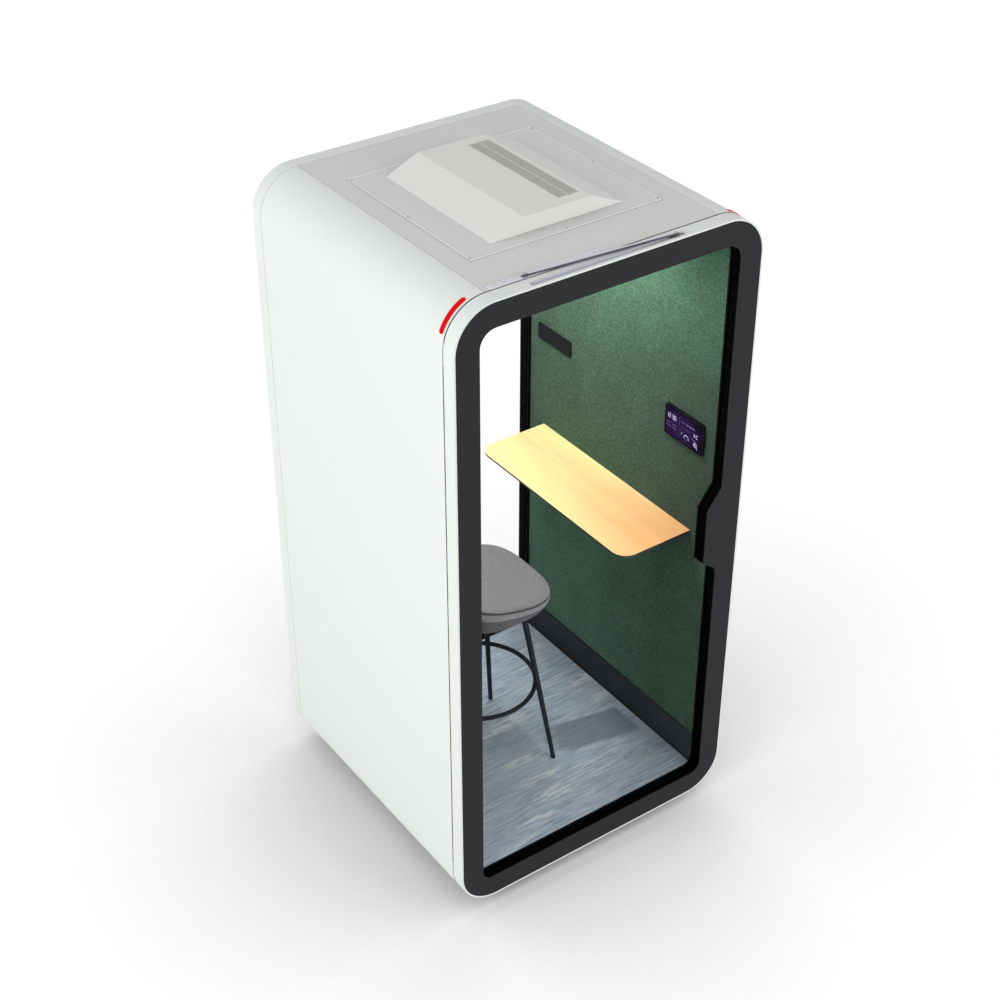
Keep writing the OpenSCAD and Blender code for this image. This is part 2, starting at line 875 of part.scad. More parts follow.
module desk_brackets() {
    top = desk_z - desk_t;
    color(leg_grey) for (y = [desk_y - bracket_y, desk_y + bracket_y]) {
        block([cabin_x - bracket_t, y - bracket_w / 2, top - bracket_drop],
            [cabin_x, y + bracket_w / 2, top]);
        block([cabin_x - bracket_reach, y - bracket_w / 2, top - bracket_t],
            [cabin_x, y + bracket_w / 2, top]);
        along_y(y - gusset_t / 2, y + gusset_t / 2)
            polygon([[cabin_x, top - bracket_drop], [cabin_x, top],
                [cabin_x - bracket_reach, top], [cabin_x - bracket_reach, top - bracket_t]]);
    }
}

module display_housing() {
    yc = y_front + display_y;
    color(frame_black) along_x(cabin_x - display_t, cabin_x)
        round_rect(yc - display_w / 2, yc + display_w / 2, display_z - display_h / 2,
            display_z + display_h / 2, display_r, display_r);
}

module display_screen() {
    yc = y_front + display_y;
    w = display_w / 2 - screen_margin;
    h = display_h / 2 - screen_margin;
    r = display_r - screen_margin;
    color([0.12, 0.05, 0.25]) along_x(cabin_x - display_t - screen_t, cabin_x - display_t)
        round_rect(yc - w, yc + w, display_z - h, display_z + h, r, r);
}

module control_plate() {
    yc = y_rear - plate_y;
    color(border_grey) {
        along_x(cabin_x - plate_t, cabin_x)
            round_rect(yc - plate_w / 2, yc + plate_w / 2, plate_z - plate_h / 2,
                plate_z + plate_h / 2, plate_r, plate_r);
        translate([cabin_x - plate_t - button_t, yc - plate_w / 2 + button_inset, plate_z])
            rotate([0, 90, 0]) cylinder(h = button_t + plate_t / 2, r = button_r, $fn = round_fn);
    }
}

// Hinge: one leaf with the even knuckles, the other with the odd ones
module hinge_leaf(even, y0, y1) {
    difference() {
        union() {
            block([hinge_x + knuckle_r + plate_back_off, y0, hinge_low],
                [hinge_x + hinge_leaf_w, y1, hinge_high]);
            for (i = [0 : knuckles - 1]) if ((i % 2 == 0) == even) {
                z0 = hinge_low + i * knuckle_pitch + knuckle_gap / 2;
                z1 = z0 + knuckle_pitch - knuckle_gap;
                block([hinge_x, y0, z0], [hinge_x + knuckle_r + 2 * plate_back_off, y1, z1]);
                post(hinge_x, hinge_y, z0, z1, knuckle_r);
            }
        }
        post(hinge_x, hinge_y, hinge_low - over, hinge_high + over, pin_r + fit);
    }
}

module hinge_body_leaf() {
    color(steel) hinge_leaf(true, body_front - leaf_plate_t, body_front);
}

module hinge_pin() { color(steel) post(hinge_x, hinge_y, hinge_low, hinge_high, pin_r); }

module latch_keeper() {
    color(steel) block([latch_x - latch_w / 2, body_front - latch_t, latch_z - latch_h / 2],
        [latch_x + latch_w / 2, body_front, latch_z + latch_h / 2]);
}

// Door closer in the roof and its arm
module closer_box(extra) {
    x0 = -flat_x + cover_lead + case_margin;
    x1 = -cover_right - case_margin;
    block([x0, body_front + case_front, roof_bottom - case_drop],
        [x1, body_front + cover_d - case_back + extra, roof_bottom + extra]);
}

module closer_case() {
    color(steel) difference() {
        closer_box(0);
        post(spindle_px, spindle_py, roof_bottom - case_drop + case_floor, roof_bottom + over,
            spindle_r + fit);
    }
}

module closer_cover() {
    color(vent_white) {
        difference() {
            block([-flat_x + cover_lead, body_front, pod_h],
                [-cover_right, body_front + cover_d, pod_h + cover_t]);
            post(spindle_px, spindle_py, pod_h - over, pod_h + cover_t + over, spindle_r + fit);
        }
        for (x = [for (i = [0 : 2]) -flat_x + cover_lead + cover_screw_in + i * cover_screw_pitch,
                -cover_right - cover_screw_in])
            post(x, body_front + cover_d / 2, pod_h + cover_t / 2,
                pod_h + cover_t + cover_screw_h, cover_screw_r);
    }
}

module closer_arm() {
    color(border_grey) {
        post(spindle_px, spindle_py, roof_bottom - case_drop + case_floor + rest_gap,
            arm_z + arm_t, spindle_r);
        translate([spindle_px, spindle_py, arm_z]) rotate([0, 0, -arm_angle]) {
            block([0, -arm_w / 2, 0], [arm_len, arm_w / 2, arm_t]);
            post(0, 0, 0, arm_t + cover_t / 2, arm_boss_r);
            post(arm_len, 0, 0, arm_t, arm_boss_r);
        }
    }
}

module closer_slider() {
    z0 = rail_low + rail_wall + rest_gap;
    w = rail_w / 2 - rail_wall - clear;
    color(frame_black) {
        block([slider_x - slider_l / 2, track_y - w, z0],
            [slider_x + slider_l / 2, track_y + w, z0 + slider_h]);
        post(slider_x, track_y, z0, arm_z - rest_gap, slider_pin_r);
    }
}

// Cut in the top of the door that holds the slide rail
module rail_box(z1) {
    block([hinge_x + rail_lead, track_y - rail_w / 2, rail_low],
        [slider_x + rail_tail + slider_l / 2, track_y + rail_w / 2, z1]);
}

module closer_rail() {
    color(steel) difference() {
        rail_box(pod_h + rail_proud);
        block([hinge_x + rail_lead + rail_wall, track_y - rail_w / 2 + rail_wall,
            rail_low + rail_wall], [slider_x + rail_tail + slider_l / 2 - rail_wall,
            track_y + rail_w / 2 - rail_wall, pod_h + rail_proud + over]);
    }
}

// Door leaf
module door_rim() {
    color(shell_white) difference() {
        rim(y_front, leaf_back);
        rail_box(pod_h + rail_proud + over);
        post(hinge_x, hinge_y, 0, pod_h, relief_r);
    }
}

module door_face_plate() {
    color(border_grey) along_y(y_front, y_front + face_t) {
        difference() {
            outline(rim_t);
            opening(0);
        }
        handle_tab(glass_lap);
    }
}

module door_core_frame() {
    glass_y = leaf_back - bead_t - glass_t;
    color(frame_black) difference() {
        union() {
            along_y(y_front + face_t, leaf_back) difference() {
                outline(rim_t);
                opening(0);
            }
            along_y(y_front + face_t, glass_y) handle_tab(glass_lap);
        }
        along_y(glass_y, leaf_back + over) opening(glass_lap);
        rail_box(pod_h + rail_proud + over);
        magnet_box(over);
    }
}

module door_glass() {
    glass_y = leaf_back - bead_t - glass_t;
    color(glass_tint) along_y(glass_y, glass_y + glass_t) opening(glass_lap - glass_edge);
}

module door_bead() {
    color(frame_black) along_y(leaf_back - bead_t, leaf_back) {
        difference() {
            opening(glass_lap);
            opening(0);
        }
        handle_tab(glass_lap / 2);
    }
}

module magnet_box(extra) {
    block([latch_x - latch_w / 2 - magnet_margin, leaf_back - magnet_t,
        latch_z - latch_h / 2 - magnet_margin], [latch_x + latch_w / 2 + magnet_margin,
        leaf_back + extra, latch_z + latch_h / 2 + magnet_margin]);
}

// Seal ring, latch magnet, cover plug and the door half of the hinge
module door_fittings() {
    color(frame_black) along_y(leaf_back, body_front - seal_gap) difference() {
        outline(seal_inset);
        outline(seal_inset + seal_w);
    }
    color(steel) magnet_box(0);
    color(border_grey) translate([open_x - plug_t, (y_front + leaf_back - bead_t - glass_t) / 2,
        grip_low - plug_drop]) rotate([0, 90, 0]) cylinder(h = plug_t, r = plug_r, $fn = round_fn);
    color(steel) hinge_leaf(false, leaf_back, leaf_back + leaf_plate_t);
}

// Stool
// Distance of the seat rim from the stool axis at an angle
function rim_radius(a) = 1 / pow(pow(abs(cos(a)) / (seat_d / 2), seat_power)
    + pow(abs(sin(a)) / (seat_w / 2), seat_power), 1 / seat_power);
// Height that the seat rim gains towards the back
function rim_rise(a) = seat_rise * pow((1 - cos(a)) / 2, 2);
// One ring of the seat, a share of the rim radius wide and at some height
function seat_ring(share, h) = [for (i = [0 : seat_steps - 1]) let (a = i * 360 / seat_steps,
    r = share * rim_radius(a)) [r * cos(a), r * sin(a), h + rim_rise(a) * share * share]];

// Closed skin through rings of the same count, capped at both ends
module ring_skin(rings, low, high) {
    n = seat_steps;
    m = len(rings);
    points = concat([for (ring = rings) for (p = ring) p], [low, high]);
    sides = [for (k = [0 : m - 2], i = [0 : n - 1]) let (j = (i + 1) % n)
        each [[k * n + i, (k + 1) * n + i, (k + 1) * n + j], [k * n + i, (k + 1) * n + j, k * n + j]]];
    bottom = [for (i = [0 : n - 1]) [m * n, i, (i + 1) % n]];
    top = [for (i = [0 : n - 1]) [m * n + 1, (m - 1) * n + (i + 1) % n, (m - 1) * n + i]];
    polyhedron(points = points, faces = concat(sides, bottom, top), convexity = 4);
}

module stool_cushion() {
    color(seat_grey) translate([stool_x + seat_dx, seat_dy, rim_z])
        ring_skin([for (s = cushion_shares) seat_ring(s[0], s[1] * cushion_t)], [0, 0, 0],
            [0, 0, cushion_shares[len(cushion_shares) - 1][1] * cushion_t]);
}

module stool_seat_shell() {
    color(seat_grey) translate([stool_x + seat_dx, seat_dy, rim_z - rest_gap])
        ring_skin([for (s = bowl_shares) [for (p = seat_ring(s[0], 0))
                [p[0], p[1], p[2] * (1 - s[1]) - s[1] * (seat_shell_h - rest_gap)]]],
            [0, 0, -seat_shell_h + rest_gap], [0, 0, 0]);
}

// Tapered leg from its glide to the yoke, cut level at both ends
module stool_leg() {
    run = (foot_half - leg_top_half) * sqrt(2);
    rise = shell_low - yoke_t - stool_low - glide_h;
    tilt = atan(run / rise);
    intersection() {
        translate([foot_half * sqrt(2), 0, stool_low + glide_h]) rotate([0, -tilt, 0])
            translate([0, 0, -glide_h]) cylinder(h = (rise + 2 * glide_h) / cos(tilt), r1 = leg_r,
                r2 = leg_top_r, $fn = round_fn);
        block([0, -foot_half, stool_low + glide_h], [foot_half * 2, foot_half, shell_low - yoke_t / 2]);
    }
}

module stool_frame() {
    reach = leg_top_half * sqrt(2) + leg_top_r;
    color(leg_grey) translate([stool_x, 0, 0]) {
        for (a = [45 : 90 : 315]) rotate([0, 0, a]) stool_leg();
        for (a = [45, 135]) rotate([0, 0, a])
            block([-reach, -yoke_w / 2, shell_low - yoke_t], [reach, yoke_w / 2, shell_low]);
        translate([0, 0, floor_z + ring_h]) rotate_extrude($fn = round_fn)
            translate([ring_big_r, 0]) circle(ring_r, $fn = round_fn);
    }
}

module stool_glides() {
    color(frame_black) for (x = [-foot_half, foot_half], y = [-foot_half, foot_half])
        post(stool_x + x, y, stool_low, stool_low + glide_h, glide_r);
}

base_frame();
levelling_feet();
floor_board();
carpet();
side_shell_left();
side_shell_right();
roof_panel();
insulation_left();
insulation_right();
insulation_roof();
felt_panel_left();
felt_panel_right();
skirting_left();
skirting_right();
jamb_front();
jamb_rear();
rear_rim();
rear_face_plate();
rear_core_frame();
rear_glass();
rear_bead();
ceiling_panel();
ceiling_light_frame();
ceiling_light_diffuser();
ceiling_inlet();
fan_housing_front();
fan_housing_rear();
fan_rotor_front();
fan_rotor_rear();
power_supply();
access_panel();
access_screws();
vent_housing();
vent_grille();
mains_inlet();
status_light_left();
status_light_right();
desk_top();
desk_brackets();
display_housing();
display_screen();
control_plate();
hinge_body_leaf();
hinge_pin();
latch_keeper();
closer_case();
closer_cover();
closer_arm();
closer_slider();
closer_rail();
door_rim();
door_face_plate();
door_core_frame();
door_glass();
door_bead();
door_fittings();
stool_cushion();
stool_seat_shell();
stool_frame();
stool_glides();
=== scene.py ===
"""Looks of a one-person acoustic pod: a finish for every solid of the frame, and the
upholstered, lit and perforated pieces that stand for its plain solids."""
import math

import bpy
import numpy as np
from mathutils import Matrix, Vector


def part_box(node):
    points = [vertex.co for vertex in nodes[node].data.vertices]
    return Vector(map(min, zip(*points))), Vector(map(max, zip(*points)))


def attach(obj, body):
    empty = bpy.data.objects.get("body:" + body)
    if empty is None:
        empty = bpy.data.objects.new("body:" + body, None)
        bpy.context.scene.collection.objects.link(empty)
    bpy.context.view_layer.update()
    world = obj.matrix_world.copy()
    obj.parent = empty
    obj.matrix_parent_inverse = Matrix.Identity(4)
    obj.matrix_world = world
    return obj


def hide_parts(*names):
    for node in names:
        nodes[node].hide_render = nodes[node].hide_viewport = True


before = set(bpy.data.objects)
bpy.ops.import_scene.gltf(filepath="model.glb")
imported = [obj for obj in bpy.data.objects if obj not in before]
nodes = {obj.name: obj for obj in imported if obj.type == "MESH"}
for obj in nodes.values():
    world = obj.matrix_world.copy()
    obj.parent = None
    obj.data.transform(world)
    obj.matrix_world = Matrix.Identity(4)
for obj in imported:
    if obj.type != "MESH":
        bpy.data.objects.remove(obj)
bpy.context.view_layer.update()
scene = bpy.context.scene


# Shader sums


class Value:
    """A shader socket that takes part in sums: numbers on it use Python's own signs."""

    def __init__(self, finish, socket):
        self.finish, self.socket = finish, socket

    def sum(self, operation, *inputs):
        return self.finish.node("ShaderNodeMath", {"operation": operation}, inputs)

    def __add__(self, other):
        return self.sum("ADD", self, other)

    def __radd__(self, other):
        return self.sum("ADD", other, self)

    def __sub__(self, other):
        return self.sum("SUBTRACT", self, other)

    def __rsub__(self, other):
        return self.sum("SUBTRACT", other, self)

    def __mul__(self, other):
        return self.sum("MULTIPLY", self, other)

    def __rmul__(self, other):
        return self.sum("MULTIPLY", other, self)

    def __truediv__(self, other):
        return self.sum("DIVIDE", self, other)

    def __rtruediv__(self, other):
        return self.sum("DIVIDE", other, self)

    def __pow__(self, other):
        return self.sum("POWER", self, other)

    def __abs__(self):
        return self.sum("ABSOLUTE", self)


class Finish:
    """A procedural material, built from its nodes in metres on Object coordinates."""

    def __init__(self, name, **constants):
        self.material = bpy.data.materials.new(name)
        self.material.use_nodes = True
        self.tree = self.material.node_tree
        self.shader = self.tree.nodes["Principled BSDF"]
        self.give({name.replace("_", " "): value for name, value in constants.items()})

    def node(self, kind, settings=None, inputs=(), output=0):
        """Adds one node: its settings first, a ramp's stops among them, then the values
        or links of its sockets, by number or by name."""
        made = self.tree.nodes.new(kind)
        for name, value in (settings or {}).items():
            if name == "stops":
                ramp = made.color_ramp
                while len(ramp.elements) < len(value):
                    ramp.elements.new(1)
                for element, (place, colour) in zip(ramp.elements, value):
                    element.position, element.color = place, colour
            else:
                setattr(made, name, value)
        pairs = inputs.items() if isinstance(inputs, dict) else enumerate(inputs)
        for key, value in pairs:
            self.feed(made.inputs[key], value)
        return Value(self, made.outputs[output])

    def feed(self, socket, value):
        if isinstance(value, Value):
            self.tree.links.new(value.socket, socket)
        else:
            socket.default_value = value

    def give(self, sockets):
        for name, value in sockets.items():
            self.feed(self.shader.inputs[name], value)
        return self

    def axis(self, name):
        """One of the Object coordinates, "X", "Y" or "Z", in metres."""
        return self.node("ShaderNodeSeparateXYZ", {}, (self.place(),), output=name)

    def place(self, stretch=None, shift=(0, 0, 0)):
        """Object coordinates in metres, or these stretched and then shifted."""
        here = self.node("ShaderNodeTexCoord", output="Object")
        if stretch is None:
            return here
        return self.node("ShaderNodeMapping", {}, {"Vector": here, "Location": shift,
                                                   "Scale": stretch})

    def noise(self, scale, detail=2, roughness=0.5, at=None, warp=0):
        """Cloudy noise from 0 to 1, so many cells to the metre."""
        return self.node("ShaderNodeTexNoise", {}, {
            "Vector": at or self.place(), "Scale": scale, "Detail": detail,
            "Roughness": roughness, "Distortion": warp})

    def span(self, value, low, high, to_low=0.0, to_high=1.0, smooth=False):
        """Carries value from the range low..high to to_low..to_high, held at the ends."""
        return self.node("ShaderNodeMapRange", {
            "interpolation_type": "SMOOTHSTEP" if smooth else "LINEAR"},
            (value, low, high, to_low, to_high))

    def above(self, value, at, soft):
        """1 where value is above at and 0 below it, with a step soft to either side."""
        return self.span(value, at - soft, at + soft)

    def below(self, value, at, soft):
        """1 where value is below at and 0 above it, with a step soft to either side."""
        return self.span(value, at - soft, at + soft, 1.0, 0.0)

    def mix(self, share, first, second):
        """Colour between first, at a share of 0, and second, at 1."""
        return self.node("ShaderNodeMix", {"data_type": "RGBA"},
                         {0: share, 6: first, 7: second}, output=2)

    def ramp(self, value, *stops):
        """Colour along a ramp of (place, colour) stops."""
        return self.node("ShaderNodeValToRGB", {"stops": stops}, (value,))

    def bump(self, height, depth):
        """Raises the surface by height times depth, in metres."""
        self.give({"Normal": self.node("ShaderNodeBump", {}, {
            "Strength": 1.0, "Distance": depth, "Height": height})})
        return self


def shade(red, green, blue):
    """Linear colour of a shade written in 0 to 255 screen steps, by the screen's curve."""
    return tuple(((c / 255 + 0.055) / 1.055) ** 2.4 if c > 10 else c / 255 / 12.92
                 for c in (red, green, blue)) + (1.0,)


def deepened(colour, share):
    """A linear colour with only a share of its light."""
    return tuple(c * share for c in colour[:3]) + (1.0,)


def dress(finish, *names):
    """Gives CAD nodes a finish."""
    for name in names:
        mesh = nodes[name].data
        if not mesh.materials:
            mesh.materials.append(finish.material)
        for slot in nodes[name].material_slots:
            slot.material = finish.material


# Finishes


# Depth of the black band painted as shade on a shell's end face, in its gap towards the door
SEAM_SHADE_DEPTH = 0.0005


def coated(name, colour, roughness, grain=900, depth=0.00002, mottle=0.03, dust=0.0,
           seam=None, painted_nook_shade=0.0, **constants):
    """Paint or moulded plastic: a fine orange-peel bump, a slow drift in tone and gloss,
    a little dust over the lowest half metre where asked, a black band of painted shade on
    the end face towards the door where the seam's place is given, and painted shade in
    nooks where asked."""
    made = Finish(name, **constants)
    drift = made.noise(3.5, 3)
    peel = made.noise(grain, 2)
    tone = made.mix(drift, deepened(colour, 1 - mottle), colour)
    if dust:
        low = made.span(made.axis("Z"), 0.02, 0.5, dust, 0.0, True) * made.noise(40, 4)
        tone = made.mix(low, tone, shade(150, 146, 138))
    # Painted shade: a black band on the end face towards the door, where the gap lies in
    # shade
    if seam is not None:
        tone = made.mix(made.below(made.axis("Y"), seam + SEAM_SHADE_DEPTH, 0.0002), tone,
                        shade(16, 16, 17))
    # Painted shade: darker and greyer where the ambient occlusion finds a nook
    if painted_nook_shade:
        free = made.node("ShaderNodeAmbientOcclusion", {"samples": 6}, {"Distance": 0.12},
                         output=1)
        tone = made.mix((1 - free) * painted_nook_shade, tone, shade(70, 70, 78))
    made.give({"Base Color": tone, "Roughness": roughness - 0.04 + 0.08 * drift
               + 0.05 * (peel - 0.5)})
    return made.bump(peel, depth)


def metal(name, colour, roughness, along=(1, 60, 60)):
    """Plated or brushed metal, with fine lines along one axis."""
    made = Finish(name, Metallic=1.0)
    lines = made.noise(14, 4, 0.6, made.place(along))
    made.give({"Base Color": made.mix(lines, deepened(colour, 0.82), colour),
               "Roughness": roughness + 0.12 * (lines - 0.5)})
    return made.bump(lines, 0.00003)


def felt(name, low, middle, high, bright):
    """Pressed felt: a fine grain in three tones, clumps of fibre about a centimetre
    across, and slow clouds. Painted shade darkens the panels towards the door below the
    ceiling light's reach, most of all between the desk and 1.5 m, and painted light in the
    bright colour makes them paler high up, and under the desk towards the rear."""
    made = Finish(name, Sheen_Weight=0.12, Sheen_Roughness=0.6, Specular_IOR_Level=0.06)
    grain = made.noise(215, 2, 0.8, made.place((1, 0.8, 1.3)))
    clump = made.noise(90, 3, 0.75, made.place((1, 0.7, 1.2), shift=(3, 1, 2)))
    cloud = made.noise(7, 2)
    tone = made.span(0.6 * grain + 0.3 * clump + 0.1 * cloud, 0.39, 0.61)
    y, z = made.axis("Y"), made.axis("Z")
    deep = shade(4, 6, 5)
    # Painted shade towards the door, below the ceiling light's reach
    drift = made.span(y, 0.0, -0.46, 0.0, 0.28, True) * made.span(z, 1.95, 1.55)
    # Painted shade in a band between the desk and 1.5 m
    band = (made.span(z, 1.9, 1.5) * made.span(z, 0.95, 1.06)
            * made.span(y, 0.2, -0.45, 0.14, 0.40))
    # Painted light under the desk towards the rear, and high up
    pale = (made.span(y, -0.25, 0.10) * made.span(z, 1.02, 0.94)
            + made.span(z, 1.65, 2.0, 0.0, 0.22))
    colour = made.ramp(tone, (0.0, low), (0.5, middle), (1.0, high))
    colour = made.mix(drift, colour, deep)
    colour = made.mix(band, colour, deep)
    colour = made.mix(pale, colour, made.ramp(tone, (0.0, middle), (1.0, bright)))
    made.give({"Base Color": colour, "Roughness": 0.9 + 0.08 * clump})
    return made.bump(grain + 0.8 * clump, 0.0006)


def fabric(name, dark, light, pitch=0.0011, foot=None):
    """Plain upholstery weave: two sets of threads at right angles, a pitch apart, with
    slubs and melange, and black painted shade up to 17 mm above the foot where its height
    is given. A wave of bands repeats every 0.314 m over its scale."""
    made = Finish(name, Sheen_Weight=0.15, Sheen_Roughness=0.5, Specular_IOR_Level=0.15)
    warp, weft = (made.node("ShaderNodeTexWave", {"bands_direction": across}, {
        "Vector": made.place(), "Scale": 0.314 / pitch, "Distortion": 0.6,
        "Detail": 1.0, "Detail Scale": 2.0}, output=1) for across in "XY")
    slub = made.noise(420, 3, 0.6, made.place((1, 0.2, 1)))
    melange = made.noise(110, 4, 0.7)
    tone = made.span(0.15 * warp + 0.15 * weft + 0.3 * slub + 0.4 * melange, 0.34, 0.66)
    colour = made.mix(tone, dark, light)
    # Painted shade: black up to 17 mm above the foot, under the seat
    if foot is not None:
        colour = made.mix(made.below(made.axis("Z"), foot + 0.017, 0.001), colour,
                          shade(6, 6, 7))
    made.give({"Base Color": colour, "Roughness": 0.82 + 0.12 * slub})
    return made.bump(warp * weft + 0.5 * slub, 0.00035)


# Side shells and roof take a black band of painted shade on their end faces at the door
door_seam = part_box("side_shell_left")[0].y
shell_white = coated("shell_white", shade(243, 247, 242), 0.5, mottle=0.012, dust=0.03,
                     seam=door_seam)
rim_white = coated("rim_white", shade(242, 246, 242), 0.5, mottle=0.012, dust=0.03)
# Roof and access panel take painted shade in the nooks round the vent
roof_grey = coated("roof_grey", shade(231, 233, 229), 0.55, mottle=0.015, seam=door_seam,
                   painted_nook_shade=0.8)
access_grey = coated("access_grey", shade(233, 235, 231), 0.5, mottle=0.015, painted_nook_shade=0.8)
# A whiter copy of the access panel's paint, as a painted highlight on its rolled edge
edge_painted_highlight = coated("edge_painted_highlight", shade(253, 253, 251), 0.45)
vent_white = coated("vent_white", shade(243, 244, 238), 0.48, mottle=0.015)
grille_grey = coated("grille_grey", shade(226, 225, 216), 0.5)
border_grey = coated("border_grey", shade(46, 46, 49), 0.66, 700, 0.00004,
                     Specular_IOR_Level=0.12)
frame_black = coated("frame_black", shade(2, 2, 2), 0.8, 600, Specular_IOR_Level=0.02)
seal_rubber = coated("seal_rubber", shade(4, 4, 5), 0.8, 500, Specular_IOR_Level=0.04)
skirting_dark = coated("skirting_dark", shade(50, 53, 57), 0.6, Specular_IOR_Level=0.2)
ceiling_white = coated("ceiling_white", shade(228, 228, 223), 0.7)
fan_black = coated("fan_black", shade(34, 34, 36), 0.55)
black_rubber = coated("black_rubber", shade(26, 26, 26), 0.8, 300, 0.0001)
plate_dark = coated("plate_dark", shade(25, 26, 28), 0.65, Specular_IOR_Level=0.06)
bracket_dark = coated("bracket_dark", shade(40, 42, 45), 0.55)
stool_metal = coated("stool_metal", shade(40, 43, 47), 0.55, 1100, 0.00004,
                     Specular_IOR_Level=0.2)
closer_metal = coated("closer_metal", shade(238, 238, 244), 0.4)
display_black = coated("display_black", shade(6, 6, 8), 0.3, Specular_IOR_Level=0.2)
base_plinth = coated("base_plinth", shade(30, 30, 32), 0.8, 300, 0.0001, dust=0.1)
light_metal = metal("light_metal", shade(205, 206, 208), 0.35)
screw_steel = metal("screw_steel", shade(120, 120, 122), 0.45, (80, 80, 1))
screw_pale = coated("screw_pale", shade(186, 187, 184), 0.5)

# The fourth colour is the painted light's, for the paler places
felt_green = felt("felt_green", shade(34, 62, 45), shade(54, 87, 66), shade(80, 118, 94),
                  shade(98, 142, 118))
seat_fabric = fabric("seat_fabric", shade(108, 108, 110), shade(148, 148, 150))
# The seat's band is a lighter copy of the seat fabric: painted light on its roll
band_fabric_painted_light = fabric("band_fabric_painted_light", shade(138, 138, 140), shade(177, 177, 178))
seat_shell_fabric = fabric("seat_shell_fabric", shade(92, 91, 95), shade(122, 121, 124),
                           foot=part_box("stool_seat_shell")[0].z)
seam_thread = fabric("seam_thread", shade(52, 52, 54), shade(76, 76, 78), 0.0008)


# Middle of the closer arm's pivot and of its far end, seen from above
ARM_PIVOT, ARM_END = (-0.278, -0.491), (0.222, -0.534)


def satin(name, stripe, plain, striped):
    """Satin coat with a slow drift in gloss, in one colour with stripes of another where
    stripe, a function of the finish, gives 1."""
    made = Finish(name)
    drift = made.noise(60, 2)
    made.give({"Base Color": made.mix(stripe(made), plain, striped),
               "Roughness": 0.4 + 0.08 * drift})
    return made.bump(drift, 0.00002)


def arm_painted_top_light(made):
    """Painted light on the rear half of the arm's top face, on the line from its pivot to its
    far end: the distance across that line is x sin a + y cos a from the pivot."""
    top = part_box("closer_arm")[1].z
    turn = math.atan2(ARM_PIVOT[1] - ARM_END[1], ARM_END[0] - ARM_PIVOT[0])
    across = ((made.axis("X") - ARM_PIVOT[0]) * math.sin(turn)
              + (made.axis("Y") - ARM_PIVOT[1]) * math.cos(turn))
    return made.above(made.axis("Z"), top - 0.0027, 0.0005) * made.above(
        across, -0.0020, 0.0010)


def rail_painted_edge_shade(made):
    """Painted shade: a line a millimetre wide along each of the rail's two long edges."""
    low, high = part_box("closer_rail")
    middle, half = (low.y + high.y) / 2, (high.y - low.y) / 2
    return made.above(abs(made.axis("Y") - middle), half - 0.0010, 0.0003)


def mineral_wool():
    """Mineral wool board: matted yellowish fibre with a rough face."""
    made = Finish("wool", Roughness=1.0, Specular_IOR_Level=0.1)
    mat = made.noise(160, 5, 0.7, made.place((1, 1, 4)), 1.5)
    made.give({"Base Color": made.mix(mat, shade(196, 182, 120), shade(232, 222, 170))})
    return made.bump(mat, 0.003)


def floor_ply():
    """Raw birch board with long pale grain along Y."""
    made = Finish("board_wood", Roughness=0.75)
    grain = made.noise(30, 5, 0.6, made.place((6, 0.4, 6)), 0.5)
    made.give({"Base Color": made.mix(grain, shade(206, 180, 136), shade(228, 208, 168))})
    return made.bump(grain, 0.0002)


def maple():
    """Lacquered maple with painted light, whiter towards the rear and along the wall and
    warmer towards the front: long soft figure along Y, a slow drift, and a dark band round
    the edge, partly the board's edge and partly painted shade on its side face."""
    made = Finish("maple", Coat_Weight=0.15, Coat_Roughness=0.3)
    low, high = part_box("desk_top")
    x, y, z = (made.axis(name) for name in "XYZ")
    figure = made.noise(9, 4, 0.55, made.place((3.2, 0.3, 3.2)), 0.9)
    fine = made.noise(120, 4, 0.6, made.place((2.5, 0.06, 2.5)), 0.3)
    slow = made.noise(3.0, 2, 0.5, made.place((2.0, 0.6, 2.0), shift=(0.3, 0.7, 0)))
    # Painted light: paler towards the rear and along the wall, warmer towards the front
    across = (high.x - x) / (high.x - low.x)
    along = (y - low.y) / (high.y - low.y)
    wall_side = made.span(across, 0.3, 0.0) * made.span(along, 0.1, 0.5)
    pale = made.span(0.12 * across + 0.75 * along + 0.4 * wall_side + 0.5 * (slow - 0.5),
                     0.05, 0.95)
    wood = made.ramp(pale, (0.0, shade(246, 186, 124)), (0.45, shade(252, 214, 152)),
                     (1.0, shade(254, 245, 170)))
    grain = made.span(0.55 * figure + 0.45 * fine, 0.38, 0.62)
    wood = made.mix((1 - grain) * 0.24, wood, shade(214, 156, 98))
    # The dark edge band is partly the board's edge and partly painted shade on its side face
    edge = made.below(z, high.z - 0.0008, 0.0004)
    made.give({"Base Color": made.mix(edge, wood, shade(52, 46, 42)),
               "Roughness": 0.44 + 0.1 * fine})
    return made.bump(fine, 0.0001)


# Patches of white streaks in the carpet: middle x and y, half length and half width
WHITE_PATCHES = ((0.443, 0.085, 0.07, 0.030), (0.450, -0.035, 0.08, 0.026),
                 (0.011, 0.046, 0.15, 0.036), (-0.020, -0.150, 0.12, 0.026),
                 (-0.013, -0.256, 0.10, 0.024), (-0.033, -0.342, 0.09, 0.032),
                 (-0.146, -0.419, 0.10, 0.022))


def oval(x, y, at_x, at_y, long, wide):
    """((x - at x) / long)^2 + ((y - at y) / wide)^2: 0 in the middle, 1 on the edge."""
    return ((x - at_x) / long) ** 2 + ((y - at_y) / wide) ** 2


